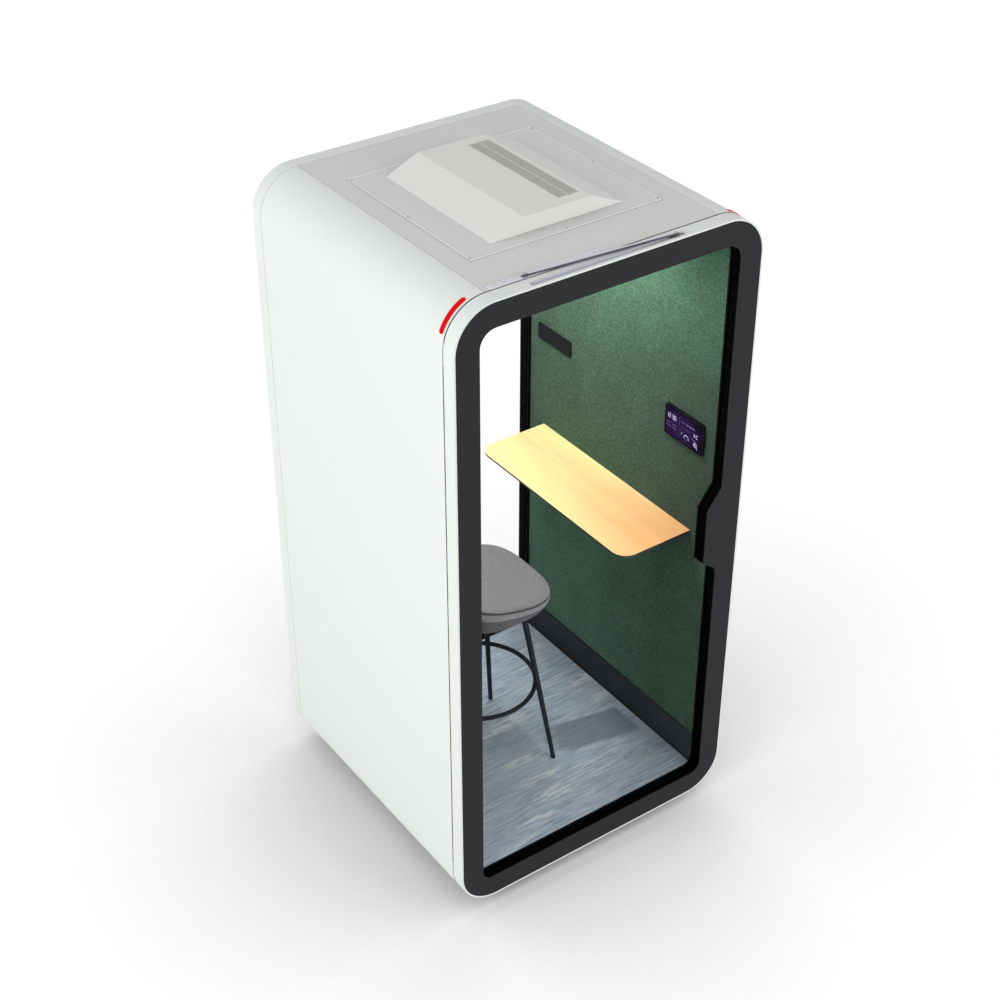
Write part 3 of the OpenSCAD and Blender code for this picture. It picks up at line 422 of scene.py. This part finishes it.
def carpet_tiles():
    """Flat loop-pile carpet in blue-grey: crisp streaks along X, 5 to 8 mm wide, that
    turn almost white in some patches, with mauve hazes between them, painted light in a
    paler place beside the stool, one calm mauve tile near the wall, and a dark joint along
    the skirting. Painted shade darkens it towards the door."""
    made = Finish("carpet", Roughness=0.97, Specular_IOR_Level=0.05, Sheen_Weight=0.1)
    x, y = made.axis("X"), made.axis("Y")
    thread = made.noise(20, 3, 0.7, made.place((0.42, 6.5, 1)), 0.1)
    dash = made.noise(12, 2, 0.7, made.place((1.1, 18.0, 1), shift=(3.1, 1.7, 0)), 0.1)
    slow = made.noise(4.2, 2, 0.5, made.place((0.8, 1.3, 1), shift=(1.2, 0.4, 0)), 0.6)
    cloud = made.noise(5.5, 3, 0.55, made.place((0.6, 1.6, 1)))

    tone = made.span(0.45 * thread + 0.55 * dash, 0.34, 0.66)
    rug = made.ramp(tone, (0.0, shade(147, 161, 179)), (0.35, shade(184, 199, 214)),
                    (0.66, shade(204, 217, 230)), (1.0, shade(238, 244, 252)))
    haze = made.span(slow + 0.4 * (dash - 0.5), 0.48, 0.36, smooth=True)
    rug = made.mix(haze * 0.10, rug, shade(168, 174, 188))
    # Painted light beside the stool, where its shadow falls
    painted_light_by_stool = made.span(oval(x, y, -0.06, -0.17, 0.24, 0.12), 0.1, 1.0, 1.0, 0.0, True)
    rug = made.mix(painted_light_by_stool * 0.30, rug, shade(236, 243, 250))

    group = 0.35 * made.span(cloud, 0.56, 0.66)
    for patch in WHITE_PATCHES:
        away = oval(x, y, *patch) + (thread - 0.5)
        group = group + made.span(away, 0.3, 1.1, 1.0, 0.0)
    white = made.span(dash, 0.44, 0.53) * made.span(group, 0.0, 1.0)
    rug = made.mix(white * 0.92, rug, shade(248, 251, 254))

    slant = y + 0.2 * (x - 0.3)
    tile = (made.above(slant, -0.235, 0.010) * made.below(slant, -0.086, 0.006)
            * made.above(x + 0.35 * (thread - 0.5), 0.14, 0.03)
            * made.below(x, 0.4375, 0.0075))
    rug = made.mix(tile * 0.9, rug,
                   made.mix(thread, shade(140, 147, 160), shade(156, 163, 175)))

    # Painted shade towards the door and the front right
    shadow = shade(22, 26, 30)
    rug = made.mix(made.span(0.6 * x - 0.8 * y, 0.22, 0.58, 0.0, 0.32, True), rug, shadow)
    rug = made.mix(made.span(y, -0.24, -0.40, 0.0, 0.24, True), rug, shadow)
    joint = made.above(abs(x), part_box("skirting_right")[0].x - 0.0055, 0.0007)
    made.give({"Base Color": made.mix(joint, rug, shade(12, 13, 14))})
    loops = made.node("ShaderNodeTexVoronoi", {"feature": "F1"},
                      {"Vector": made.place((0.7, 1, 1)), "Scale": 340})
    return made.bump((1 - loops) + 0.5 * thread, 0.0008)


def clear_glass():
    """Clear laminated glass as a thin, faintly green veil with a few wiped smears."""
    made = Finish("clear_glass", Base_Color=shade(120, 140, 136), Specular_IOR_Level=0.2)
    smear = made.noise(5, 4, 0.7, made.place((1, 1, 0.5)), 1.2)
    made.give({"Roughness": 0.03 + 0.04 * smear, "Alpha": 0.002 + 0.003 * smear})
    return made


def lit_lens(name, body, glow, strength, roughness=0.35, gloss=0.5):
    """Coloured lens with light behind it, a little stronger in soft patches."""
    made = Finish(name, Base_Color=body, Emission_Strength=strength, Roughness=roughness,
                  Specular_IOR_Level=gloss)
    patch = made.noise(60, 2)
    made.give({"Emission Color": made.mix(patch * 0.3, glow, deepened(glow, 0.7))})
    return made.bump(made.noise(500, 1), 0.00003)


def screen_glass():
    """Dark purple screen, a little brighter near its middle, in a black bezel 3 mm wide
    under smooth cover glass."""
    made = Finish("display_glass", Roughness=0.25, Emission_Strength=0.9,
                  Specular_IOR_Level=0.02)
    low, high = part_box("display_screen")
    middle, half = (low + high) / 2, (high - low) / 2
    across, up = made.axis("Y") - middle.y, made.axis("Z") - middle.z
    glow = made.span((across / half.y - 0.1) ** 2 + (up / half.z) ** 2
                     + 0.5 * made.noise(60, 2), 0.2, 1.7, 1.0, 0.0, True)
    bezel, soft = 0.00325, 0.00025
    lit = made.below(abs(across), half.y - bezel, soft) * made.below(
        abs(up), half.z - bezel, soft)
    purple = made.mix(glow, shade(16, 3, 38), shade(42, 20, 70))
    made.give({"Base Color": shade(2, 2, 3),
               "Emission Color": made.mix(lit, shade(0, 0, 0), purple)})
    return made


status_red = lit_lens("status_red", shade(150, 2, 3), shade(214, 3, 8), 0.7, 0.5, 0.08)
light_diffuser = lit_lens("light_diffuser", shade(245, 245, 240), shade(255, 252, 244), 3.0,
                          0.6)
screen_mark = lit_lens("screen_mark", shade(120, 112, 140), shade(206, 196, 230), 0.85,
                       gloss=0.1)
screen_dim = lit_lens("screen_dim", shade(60, 44, 84), shade(116, 90, 152), 0.55,
                      gloss=0.1)

for finish, names in {
    base_plinth: ["base_frame"],
    black_rubber: ["levelling_feet", "stool_glides"],
    floor_ply(): ["floor_board"],
    carpet_tiles(): ["carpet"],
    shell_white: ["side_shell_left", "side_shell_right"],
    rim_white: ["rear_rim", "door_rim"],
    roof_grey: ["roof_panel"],
    access_grey: ["access_panel"],
    mineral_wool(): ["insulation_left", "insulation_right", "insulation_roof"],
    felt_green: ["felt_panel_left", "felt_panel_right"],
    skirting_dark: ["skirting_left", "skirting_right"],
    frame_black: ["jamb_front", "jamb_rear", "rear_core_frame", "door_core_frame"],
    border_grey: ["rear_face_plate", "door_face_plate"],
    clear_glass(): ["rear_glass", "door_glass"],
    seal_rubber: ["rear_bead", "door_bead", "door_fittings"],
    ceiling_white: ["ceiling_panel"],
    light_metal: ["ceiling_light_frame", "power_supply", "closer_case"],
    light_diffuser: ["ceiling_light_diffuser"],
    fan_black: ["ceiling_inlet", "fan_housing_front", "fan_housing_rear",
                "fan_rotor_front", "fan_rotor_rear", "mains_inlet", "closer_slider"],
    screw_steel: ["hinge_body_leaf", "hinge_pin", "latch_keeper"],
    screw_pale: ["access_screws"],
    vent_white: ["vent_housing"],
    grille_grey: ["vent_grille"],
    status_red: ["status_light_left", "status_light_right"],
    maple(): ["desk_top"],
    bracket_dark: ["desk_brackets"],
    display_black: ["display_housing"],
    screen_glass(): ["display_screen"],
    plate_dark: ["control_plate"],
    closer_metal: ["closer_cover"],
    # The rail's edge lines are painted shade
    satin("rail_grey", rail_painted_edge_shade, shade(228, 228, 234), shade(150, 151, 158)):
        ["closer_rail"],
    # The arm's dark body is painted shade, and its light ridge painted light
    satin("closer_dark", arm_painted_top_light, shade(84, 84, 92), shade(232, 232, 240)):
        ["closer_arm"],
    stool_metal: ["stool_frame"],
    seat_fabric: ["stool_cushion"],
    seat_shell_fabric: ["stool_seat_shell"],
}.items():
    dress(finish, *names)


# Surfaces


def grid_faces(rows, columns, around=False, over=False):
    """Quads between neighbouring points of a grid of rows by columns. around joins the
    last column to the first, and over the last row to the first."""
    r = np.arange(rows if over else rows - 1)[:, None]
    c = np.arange(columns if around else columns - 1)[None, :]
    r2, c2 = (r + 1) % rows, (c + 1) % columns
    return np.stack([r * columns + c, r * columns + c2, r2 * columns + c2,
                     r2 * columns + c], -1).reshape(-1, 4)


def capped_faces(rings, angles):
    """Faces of closed rings, each joined to the next, whose two ends are closed by two
    more points: first the one for the first ring, then the one for the last."""
    k = np.arange(angles)
    k2 = (k + 1) % angles
    first, top = np.full(angles, rings * angles), (rings - 1) * angles
    return (grid_faces(rings, angles, around=True).tolist()
            + np.stack([first, k2, k], 1).tolist()
            + np.stack([first + 1, top + k, top + k2], 1).tolist())


def mesh_piece(name, points, faces, finish, body, slot, smooth=True):
    """Makes a piece of points and faces, in the CAD's frame, and hangs it on a body."""
    mesh = bpy.data.meshes.new(name)
    mesh.from_pydata(np.asarray(points, float).reshape(-1, 3).tolist(), [],
                     [[int(i) for i in face] for face in faces])
    mesh.polygons.foreach_set("use_smooth", np.full(len(mesh.polygons), smooth))
    mesh.materials.append(finish.material)
    mesh.update()
    piece = bpy.data.objects.new(name, mesh)
    scene.collection.objects.link(piece)
    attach(piece, body)
    return piece


# Stool seat

seat_low, seat_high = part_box("stool_cushion")
seat_middle = (seat_low + seat_high) / 2
half_d = (seat_high.x - seat_low.x) / 2
half_w = (seat_high.y - seat_low.y) / 2
rim_z = seat_low.z
seat_power = 3.2
back_rise = 0.093
bowl_depth = 0.067


def seat_ring(share, height, lift, angles):
    """Points round the seat. At the angle a the rim's radius is (|cos a / half depth|^p +
    |sin a / half width|^p)^(-1/p), and it rises ((1 - cos a) / 2)^2 of the back rise. The
    points lie a share of the rim out, at a height plus lift times the rise times share
    squared."""
    a = np.linspace(0, 2 * np.pi, angles, endpoint=False)
    radius = (np.abs(np.cos(a) / half_d) ** seat_power
              + np.abs(np.sin(a) / half_w) ** seat_power) ** (-1 / seat_power)
    rise = back_rise * ((1 - np.cos(a)) / 2) ** 2
    return np.stack([seat_middle.x + share * radius * np.cos(a),
                     seat_middle.y + share * radius * np.sin(a),
                     rim_z + height + lift * rise * share ** 2], -1)


def seat_skin(profile, angles=144):
    """Closed seat surface through a ring for each profile row of share, height and lift.
    Both ends close on a point at the seat's middle."""
    share, height, lift = (np.array(v)[:, None] for v in zip(*profile))
    ring = seat_ring(share, height, lift, angles)
    ends = [[seat_middle.x, seat_middle.y, rim_z + profile[k][1]] for k in (0, -1)]
    return np.vstack([ring.reshape(-1, 3), ends]), capped_faces(len(profile), angles)


def smooth_profile(rows, count):
    """Rows of (share, height, lift), count in all, along a cubic curve through the given
    ones. Its slope at each is half the step from the row before it to the row after."""
    rows = np.array(rows, float)
    padded_rows = np.vstack([2 * rows[0] - rows[1], rows, 2 * rows[-1] - rows[-2]])
    t = np.linspace(0, len(rows) - 1, count)
    i = np.minimum(t.astype(int), len(rows) - 2)
    f = (t - i)[:, None]
    p0, p1, p2, p3 = (padded_rows[i + k] for k in range(4))
    return 0.5 * (2 * p1 + (p2 - p0) * f + (2 * p0 - 5 * p1 + 4 * p2 - p3) * f ** 2
                  + (3 * p1 - p0 - 3 * p2 + p3) * f ** 3)


def remesh(piece, voxel):
    """Gives a closed piece a new mesh of even cells of that size."""
    modifier = piece.modifiers.new("even", "REMESH")
    modifier.mode, modifier.voxel_size, modifier.use_smooth_shade = "VOXEL", voxel, True
    graph = bpy.context.evaluated_depsgraph_get()
    mesh = bpy.data.meshes.new_from_object(piece.evaluated_get(graph))
    piece.modifiers.clear()
    piece.data = mesh


def vertex_rows(mesh, name):
    """A value of every vertex, such as "co" or "normal", as rows of three."""
    values = np.empty(3 * len(mesh.vertices), np.float32)
    mesh.vertices.foreach_get(name, values)
    return values.reshape(-1, 3).astype(float)


def swell(piece, pressure, cap, frames=20):
    """Blows a closed piece up like a filled cover, by that many frames of cloth. No point
    moves further than cap, and points that face down stay where they are: the share of
    the move goes from 0 to 1 as the upward part of the normal goes from 0.2 to 0.6."""
    before = vertex_rows(piece.data, "co")
    facing = vertex_rows(piece.data, "normal")[:, 2:]
    cloth = piece.modifiers.new("fill", "CLOTH")
    cloth.settings.use_pressure = True
    cloth.settings.uniform_pressure_force = pressure
    cloth.settings.effector_weights.gravity = 0
    cloth.settings.tension_stiffness = cloth.settings.compression_stiffness = 25
    cloth.settings.bending_stiffness = 4
    cloth.point_cache.frame_start, cloth.point_cache.frame_end = 1, frames
    for number in range(1, frames + 1):
        scene.frame_set(number)
    graph = bpy.context.evaluated_depsgraph_get()
    after = vertex_rows(piece.evaluated_get(graph).data, "co")
    piece.modifiers.clear()
    scene.frame_set(1)
    move = after - before
    length = np.linalg.norm(move, axis=1, keepdims=True)
    move *= np.minimum(1, cap / np.maximum(length, 1e-9))
    move *= np.clip((facing - 0.2) / 0.4, 0, 1)
    piece.data.vertices.foreach_set("co", (before + move).ravel())
    piece.data.update()


cushion = mesh_piece("seat_cushion", *seat_skin(smooth_profile([
    (0.05, 0.0005, 1), (0.50, 0.0005, 1), (0.90, 0.0005, 1), (0.962, 0.0010, 1),
    (0.984, 0.0030, 1), (0.996, 0.0060, 1), (0.999, 0.0088, 1), (0.990, 0.0130, 1),
    (0.957, 0.0178, 1), (0.88, 0.0212, 1), (0.74, 0.0232, 1), (0.50, 0.0246, 1),
    (0.25, 0.0250, 1), (0.05, 0.0250, 1)], 72)), seat_fabric, "stool", "seat_fabric")
remesh(cushion, voxel=0.004)
swell(cushion, pressure=4.0, cap=0.002)
rounding = cushion.modifiers.new("rounding", "SUBSURF")
rounding.levels = rounding.render_levels = 1
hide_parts("stool_cushion")

band = mesh_piece("seat_band", *seat_skin(smooth_profile([
    (0.05, -0.0190, 0.73), (0.50, -0.0190, 0.73), (0.90, -0.0190, 0.73),
    (0.972, -0.0188, 0.73), (0.989, -0.0172, 0.77), (0.999, -0.0115, 0.85),
    (0.997, -0.0062, 0.92), (0.984, -0.0024, 0.97), (0.960, -0.0009, 1), (0.90, -0.0006, 1),
    (0.50, -0.0006, 1), (0.05, -0.0006, 1)], 60)), band_fabric_painted_light, "stool", "seat_fabric")

bowl = mesh_piece("seat_bowl", *seat_skin(smooth_profile([
    (0.05, -bowl_depth, 0), (0.40, -bowl_depth, 0), (0.70, -bowl_depth + 0.0008, 0.02),
    (0.80, -bowl_depth * 0.93, 0.07), (0.89, -bowl_depth * 0.74, 0.26),
    (0.945, -bowl_depth * 0.52, 0.48), (0.968, -bowl_depth * 0.35, 0.66),
    (0.974, -0.0204, 0.72), (0.968, -0.0193, 0.73), (0.90, -0.0191, 0.73),
    (0.50, -0.0191, 0.73), (0.05, -0.0191, 0.73)], 80)),
    seat_shell_fabric, "stool", "seat_shell_fabric")
for piece in (band, bowl):
    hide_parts("stool_seat_shell")


def tube(path, radius, sides=8):
    """Round tube along a closed path. Each ring stands in the plane square to the path,
    from its tangent and the level direction beside it."""
    path = np.asarray(path, float)
    step = np.roll(path, -1, 0) - np.roll(path, 1, 0)
    tangent = step / np.linalg.norm(step, axis=1, keepdims=True)
    beside = np.cross(tangent, [0, 0, 1.0])
    beside /= np.linalg.norm(beside, axis=1, keepdims=True)
    upward = np.cross(beside, tangent)
    a = np.linspace(0, 2 * np.pi, sides, endpoint=False)
    ring = (path[:, None] + radius * (np.cos(a)[None, :, None] * beside[:, None]
                                      + np.sin(a)[None, :, None] * upward[:, None]))
    return ring.reshape(-1, 3), grid_faces(len(path), sides, around=True, over=True)


seam_line = seat_ring(share=0.983, height=0.0003, lift=1, angles=240)
mesh_piece("seat_seam", *tube(seam_line, radius=0.0011), seam_thread, "stool",
           "seat_fabric")


# Perforated outlet


# Plain edge, bar between the strips, pitch and radius of the holes, and thickness
EDGE, BAR, PITCH, HOLE, SHEET = 0.002, 0.0045, 0.0056, 0.0018, 0.0012


def hole_cells(centres, top):
    """Square cells of the sheet, a pitch wide, with a round hole each: eight points on the
    cell's edge are joined to the hole's eight, and these to eight below them for the
    sheet's thickness."""
    a = np.arange(8) * np.pi / 4 + np.pi / 8
    circle = np.stack([np.cos(a), np.sin(a)], 1)
    square = circle / np.abs(circle).max(1, keepdims=True)
    rings = []
    for ring, level in ((square * PITCH / 2, top), (circle * HOLE, top),
                        (circle * HOLE, top - SHEET)):
        flat = centres.reshape(-1, 1, 2) + ring
        rings.append(np.concatenate([flat, np.full(flat.shape[:2] + (1,), level)], -1))
    cells = np.concatenate(rings, 1)
    first = cells.shape[1] * np.arange(len(cells))[:, None, None]
    return cells.reshape(-1, 3), (grid_faces(3, 8, around=True) + first).reshape(-1, 4)


def plates(rectangles, top):
    """Flat rectangles (low x, low y, high x, high y) at one height."""
    x0, y0, x1, y1 = np.array(rectangles).T
    z = np.full(len(x0), top)
    corners = np.stack([np.stack(corner, -1) for corner in (
        (x0, y0, z), (x1, y0, z), (x1, y1, z), (x0, y1, z))], 1)
    return corners.reshape(-1, 3), np.arange(4 * len(x0)).reshape(-1, 4)


def perforated_sheet(node):
    """Sheet on the node's top with two strips of round holes, one to each side of a bar.
    Every second row is half a pitch on, so that the rows' ends are filled by half a
    cell, at the far end of the even rows and the near end of the odd ones."""
    low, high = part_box(node)
    width = (high.x - low.x - 2 * EDGE - BAR) / 2
    rows, columns = int(width / PITCH), int((high.y - low.y - 2 * EDGE) / PITCH)
    inset = (width - rows * PITCH) / 2
    middle, reach = (low.y + high.y) / 2, columns * PITCH / 2 + PITCH / 4
    starts = (low.x + EDGE + inset, high.x - EDGE - width + inset)

    u, v = np.meshgrid(np.arange(rows), np.arange(columns), indexing="ij")
    y = middle + (v - columns / 2 + 0.25 + 0.5 * (u % 2)) * PITCH
    centres = [np.stack([start + (u + 0.5) * PITCH, y], -1) for start in starts]
    ends = [middle - reach if row % 2 else middle + reach - PITCH / 2
            for row in range(rows)]
    lap = 0.0001
    plain = [(low.x, low.y, starts[0], high.y),
             (starts[1] + rows * PITCH, low.y, high.x, high.y),
             (starts[0] + rows * PITCH, low.y, starts[1], high.y),
             (low.x, low.y, high.x, middle - reach + lap),
             (low.x, middle + reach, high.x, high.y)]
    plain += [(start + row * PITCH, end, start + (row + 1) * PITCH, end + PITCH / 2)
              for start in starts for row, end in enumerate(ends)]
    points, faces = hole_cells(np.stack(centres), high.z)
    more, quads = plates(plain, high.z)
    return np.vstack([points, more]), np.vstack([faces, quads + len(points)])


outlet = mesh_piece("outlet_mesh", *perforated_sheet("vent_grille"), grille_grey, "pod",
                    "grille_grey", smooth=False)
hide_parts("vent_grille")


# Roof fittings


def domes(places, radius, height, sides=16):
    """Low round heads, one at each place: rings of a share of the radius at a share of
    the height, closed by a point below and one above."""
    a = np.linspace(0, 2 * np.pi, sides, endpoint=False)
    share, rise = np.array([(1, 0), (1, 0.55), (0.82, 0.9), (0.4, 1)]).T[:, :, None]
    ring = np.stack([share * radius * np.cos(a), share * radius * np.sin(a),
                     rise * height + 0 * a], -1).reshape(-1, 3)
    head = np.vstack([ring, [(0, 0, 0), (0, 0, height)]])
    faces = capped_faces(len(share), sides)
    return (np.vstack([head + place for place in places]),
            [[i + n * len(head) for i in face] for n in range(len(places)) for face in faces])


def panel_edge(node, radius, corner=0.006):
    """Line round a panel's upper edge with round corners, a radius inside the panel's box
    and 0.6 of a radius below its top."""
    low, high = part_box(node)
    a = np.linspace(0, np.pi / 2, 7)
    inside = radius + corner
    x0, x1, y0, y1 = low.x + inside, high.x - inside, low.y + inside, high.y - inside
    return np.vstack([np.stack([x + corner * np.cos(a + n * np.pi / 2),
                                y + corner * np.sin(a + n * np.pi / 2),
                                0 * a + high.z - radius * 0.6], 1)
                      for n, (x, y) in enumerate([(x1, y1), (x0, y1), (x0, y0), (x1, y0)])])


# The rolled edge round the access panel carries a painted highlight
bead = 0.0026
mesh_piece("access_edge", *tube(panel_edge("access_panel", bead), bead, sides=12),
           edge_painted_highlight, "pod", "access_grey")
low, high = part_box("closer_cover")
cover_y, cover_seat = (low.y + high.y) / 2, low.z + 0.0046
mesh_piece("cover_screws", *domes([(x, cover_y, cover_seat) for x in (
    low.x + 0.020, low.x + 0.053, low.x + 0.086, high.x - 0.020)],
    radius=0.0030, height=0.0012), screw_pale, "pod", "screw_steel")
pivot_seat, end_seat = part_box("closer_arm")[1].z - 0.0005, 2.3085
mesh_piece("arm_bolts", *domes([(*ARM_PIVOT, pivot_seat), (*ARM_END, end_seat)],
                               radius=0.0045, height=0.005),
           screw_pale, "closer_arm", "screw_steel")


# Screen marks


def mark_mesh(shapes):
    """Flat marks on the screen. Each shape is a strip along a line of (right, up) points
    in millimetres from the screen's lower left, as seen by the user, with a width: its
    edges lie half the width to each side of the line, square to it."""
    low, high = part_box("display_screen")
    proud = 0.0002
    points, faces = [], []
    for line, width in shapes:
        line = np.asarray(line, float) / 1000
        step = np.gradient(line, axis=0)
        step /= np.linalg.norm(step, axis=1, keepdims=True)
        side = np.stack([-step[:, 1], step[:, 0]], 1) * width / 2000
        both = np.stack([line + side, line - side], 1)
        start = sum(len(p) for p in points)
        points.append(np.stack([
            np.full(both.shape[:2], low.x - proud), high.y - both[..., 0],
            low.z + both[..., 1]], -1).reshape(-1, 3))
        faces.append(grid_faces(len(line), 2) + start)
    return np.vstack(points), np.vstack(faces)


def arc(x, y, radius, start, end, width, count=24):
    """Arc about (x, y) from one angle to another, in degrees from the right."""
    a = np.radians(np.linspace(start, end, count))
    return np.stack([x + radius * np.cos(a), y + radius * np.sin(a)], 1), width


def digit(number, x, y, height):
    """A clock figure from 0 to 3 as the strokes of a seven-bar display."""
    w, h, t = height * 0.5, height / 2, height * 0.13
    bars = {"a": ((0, 2 * h), (w, 2 * h)), "b": ((w, 2 * h), (w, h)), "c": ((w, h), (w, 0)),
            "d": ((0, 0), (w, 0)), "e": ((0, h), (0, 0)), "f": ((0, 2 * h), (0, h)),
            "g": ((0, h), (w, h))}
    lit = {0: "abcdef", 1: "bc", 2: "abged", 3: "abgcd"}[number]
    return [(np.array(bars[bar]) + (x, y), t) for bar in lit]


def strips(*rows):
    """Straight strips, each from one point to another with a width."""
    return [((start, end), width) for start, end, width in rows]


bright_marks = [stroke for number, x in ((1, 8), (2, 19), (3, 35), (0, 46))
                for stroke in digit(number, x, 68, 15)]
bright_marks += strips(((30.5, 71), (30.5, 72.5), 1.6), ((30.5, 77.5), (30.5, 79), 1.6))
bright_marks += [arc(x, 79, 1.2, 0, 360, 2.0, 12) for x in (112, 126, 140)]
bright_marks += strips(((146, 52), (146, 64), 3.5), ((84, 33), (84, 40), 2.6))
bright_marks += [arc(160, 58, 6, 60, 300, 2.2), arc(108, 28, 11, -20, 200, 2.0),
                 arc(152, 25, 7.5, 0, 360, 2.4), arc(152, 25, 2.0, 0, 360, 2.4, 16)]
bright_marks += strips(((158, 18), (163, 12), 2.6))
dim_marks = strips(((8, 48), (28, 48), 3.2), ((8, 36), (30, 36), 3.2),
                   ((38, 48), (60, 48), 3.2), ((38, 36), (58, 36), 3.2),
                   ((80, 79), (102, 79), 3.2), ((104, 79), (148, 79), 1.0),
                   ((130, 40), (156, 40), 3.0), ((80, 58), (126, 58), 1.2))
dim_marks += [arc(108, 28, 6, 0, 360, 1.2)]
dim_marks += strips(((70, 14), (70, 92), 0.7))
mesh_piece("screen_marks", *mark_mesh(bright_marks), screen_mark, "pod", "display_glass",
           smooth=False)
mesh_piece("screen_lines", *mark_mesh(dim_marks), screen_dim, "pod", "display_glass",
           smooth=False)


# Floor, light and camera


def studio_floor(radius=60, sides=96):
    """Pale round floor that reads white in the open. Towards the pod, where less of the
    room is open above it, it darkens as the shadow there does."""
    mesh = bpy.data.meshes.new("studio_floor")
    a = np.linspace(0, 2 * np.pi, sides, endpoint=False)
    mesh.from_pydata(np.stack([radius * np.cos(a), radius * np.sin(a), 0 * a], 1).tolist(),
                     [], [list(range(sides))])
    floor = bpy.data.objects.new("studio_floor", mesh)
    scene.collection.objects.link(floor)
    made = Finish("studio_floor", Roughness=0.9, Specular_IOR_Level=0.0)
    rays = made.node("ShaderNodeLightPath", output="Is Camera Ray")
    rays += made.node("ShaderNodeLightPath", output="Is Glossy Ray")
    rays += made.node("ShaderNodeLightPath", output="Is Transmission Ray")
    open_share = made.node("ShaderNodeAmbientOcclusion", {"samples": 8}, {"Distance": 2.5},
                           output=1)
    lift = made.ramp(open_share, *((share, (level, level, level, 1)) for share, level in (
        (0.0, 0.0), (0.55, 0.375), (0.80, 0.637), (0.90, 0.765), (0.96, 0.87))))
    made.give({"Base Color": made.mix(rays, shade(245, 245, 245), shade(149, 149, 149)),
               "Emission Color": made.mix(rays, shade(0, 0, 0), lift),
               "Emission Strength": 1.0})
    mesh.materials.append(made.material)


def surroundings():
    """Even light from all round, and plain white for what looks past the floor."""
    world = bpy.data.worlds.new("studio")
    scene.world = world
    world.use_nodes = True
    tree = world.node_tree
    path = tree.nodes.new("ShaderNodeLightPath")
    light, white = tree.nodes["Background"], tree.nodes.new("ShaderNodeBackground")
    light.inputs["Color"].default_value = (0.98, 0.99, 1.0, 1)
    light.inputs["Strength"].default_value = 0.53
    white.inputs["Color"].default_value = (1, 1, 1, 1)
    white.inputs["Strength"].default_value = 1.0
    either = tree.nodes.new("ShaderNodeMath")
    either.operation = "MAXIMUM"
    tree.links.new(path.outputs["Is Camera Ray"], either.inputs[0])
    tree.links.new(path.outputs["Is Transmission Ray"], either.inputs[1])
    chosen = tree.nodes.new("ShaderNodeMixShader")
    tree.links.new(either.outputs[0], chosen.inputs[0])
    tree.links.new(light.outputs[0], chosen.inputs[1])
    tree.links.new(white.outputs[0], chosen.inputs[2])
    tree.links.new(chosen.outputs[0], tree.nodes["World Output"].inputs[0])


def panel_light(name, place, aim, size, level):
    """Soft panel whose face is level times as bright as white."""
    lamp = bpy.data.lights.new(name, "AREA")
    lamp.shape, lamp.size, lamp.size_y = "RECTANGLE", size[0], size[1]
    lamp.energy = math.pi * size[0] * size[1] * level
    panel = bpy.data.objects.new(name, lamp)
    scene.collection.objects.link(panel)
    panel.location = place
    panel.rotation_euler = (Vector(aim) - Vector(place)).to_track_quat("-Z", "Y").to_euler()


def photo_camera():
    """Camera at the photograph's own place: from the front left, looking down."""
    lens = bpy.data.cameras.new("photo_camera")
    focal, picture = 1825.62, 1000
    lens.sensor_width, lens.lens = 36, 36 * focal / picture
    lens.clip_end = 200
    camera = bpy.data.objects.new("photo_camera", lens)
    scene.collection.objects.link(camera)
    camera.location = (-2.9030, -4.0799, 4.6251)
    azimuth, elevation = math.radians(-35.33), math.radians(34.56)
    back = Vector((math.sin(azimuth) * math.cos(elevation),
                   -math.cos(azimuth) * math.cos(elevation), math.sin(elevation)))
    camera.rotation_mode = "QUATERNION"
    camera.rotation_quaternion = (-back).to_track_quat("-Z", "Y")
    scene.camera = camera


studio_floor()
surroundings()
panel_light("side_panel", (-6.0, -1.0, 4.1), (0, 0, 1.4), (5, 3), 3.6)
panel_light("front_panel", (3.0, -5.6, 3.9), (0, 0, 1.2), (4, 3), 2.9)
panel_light("cabin_light", (0.0, 0.14, 2.215), (0, 0.14, 0), (0.6, 0.62), 14.2)
photo_camera()
scene.view_settings.view_transform = "Standard"
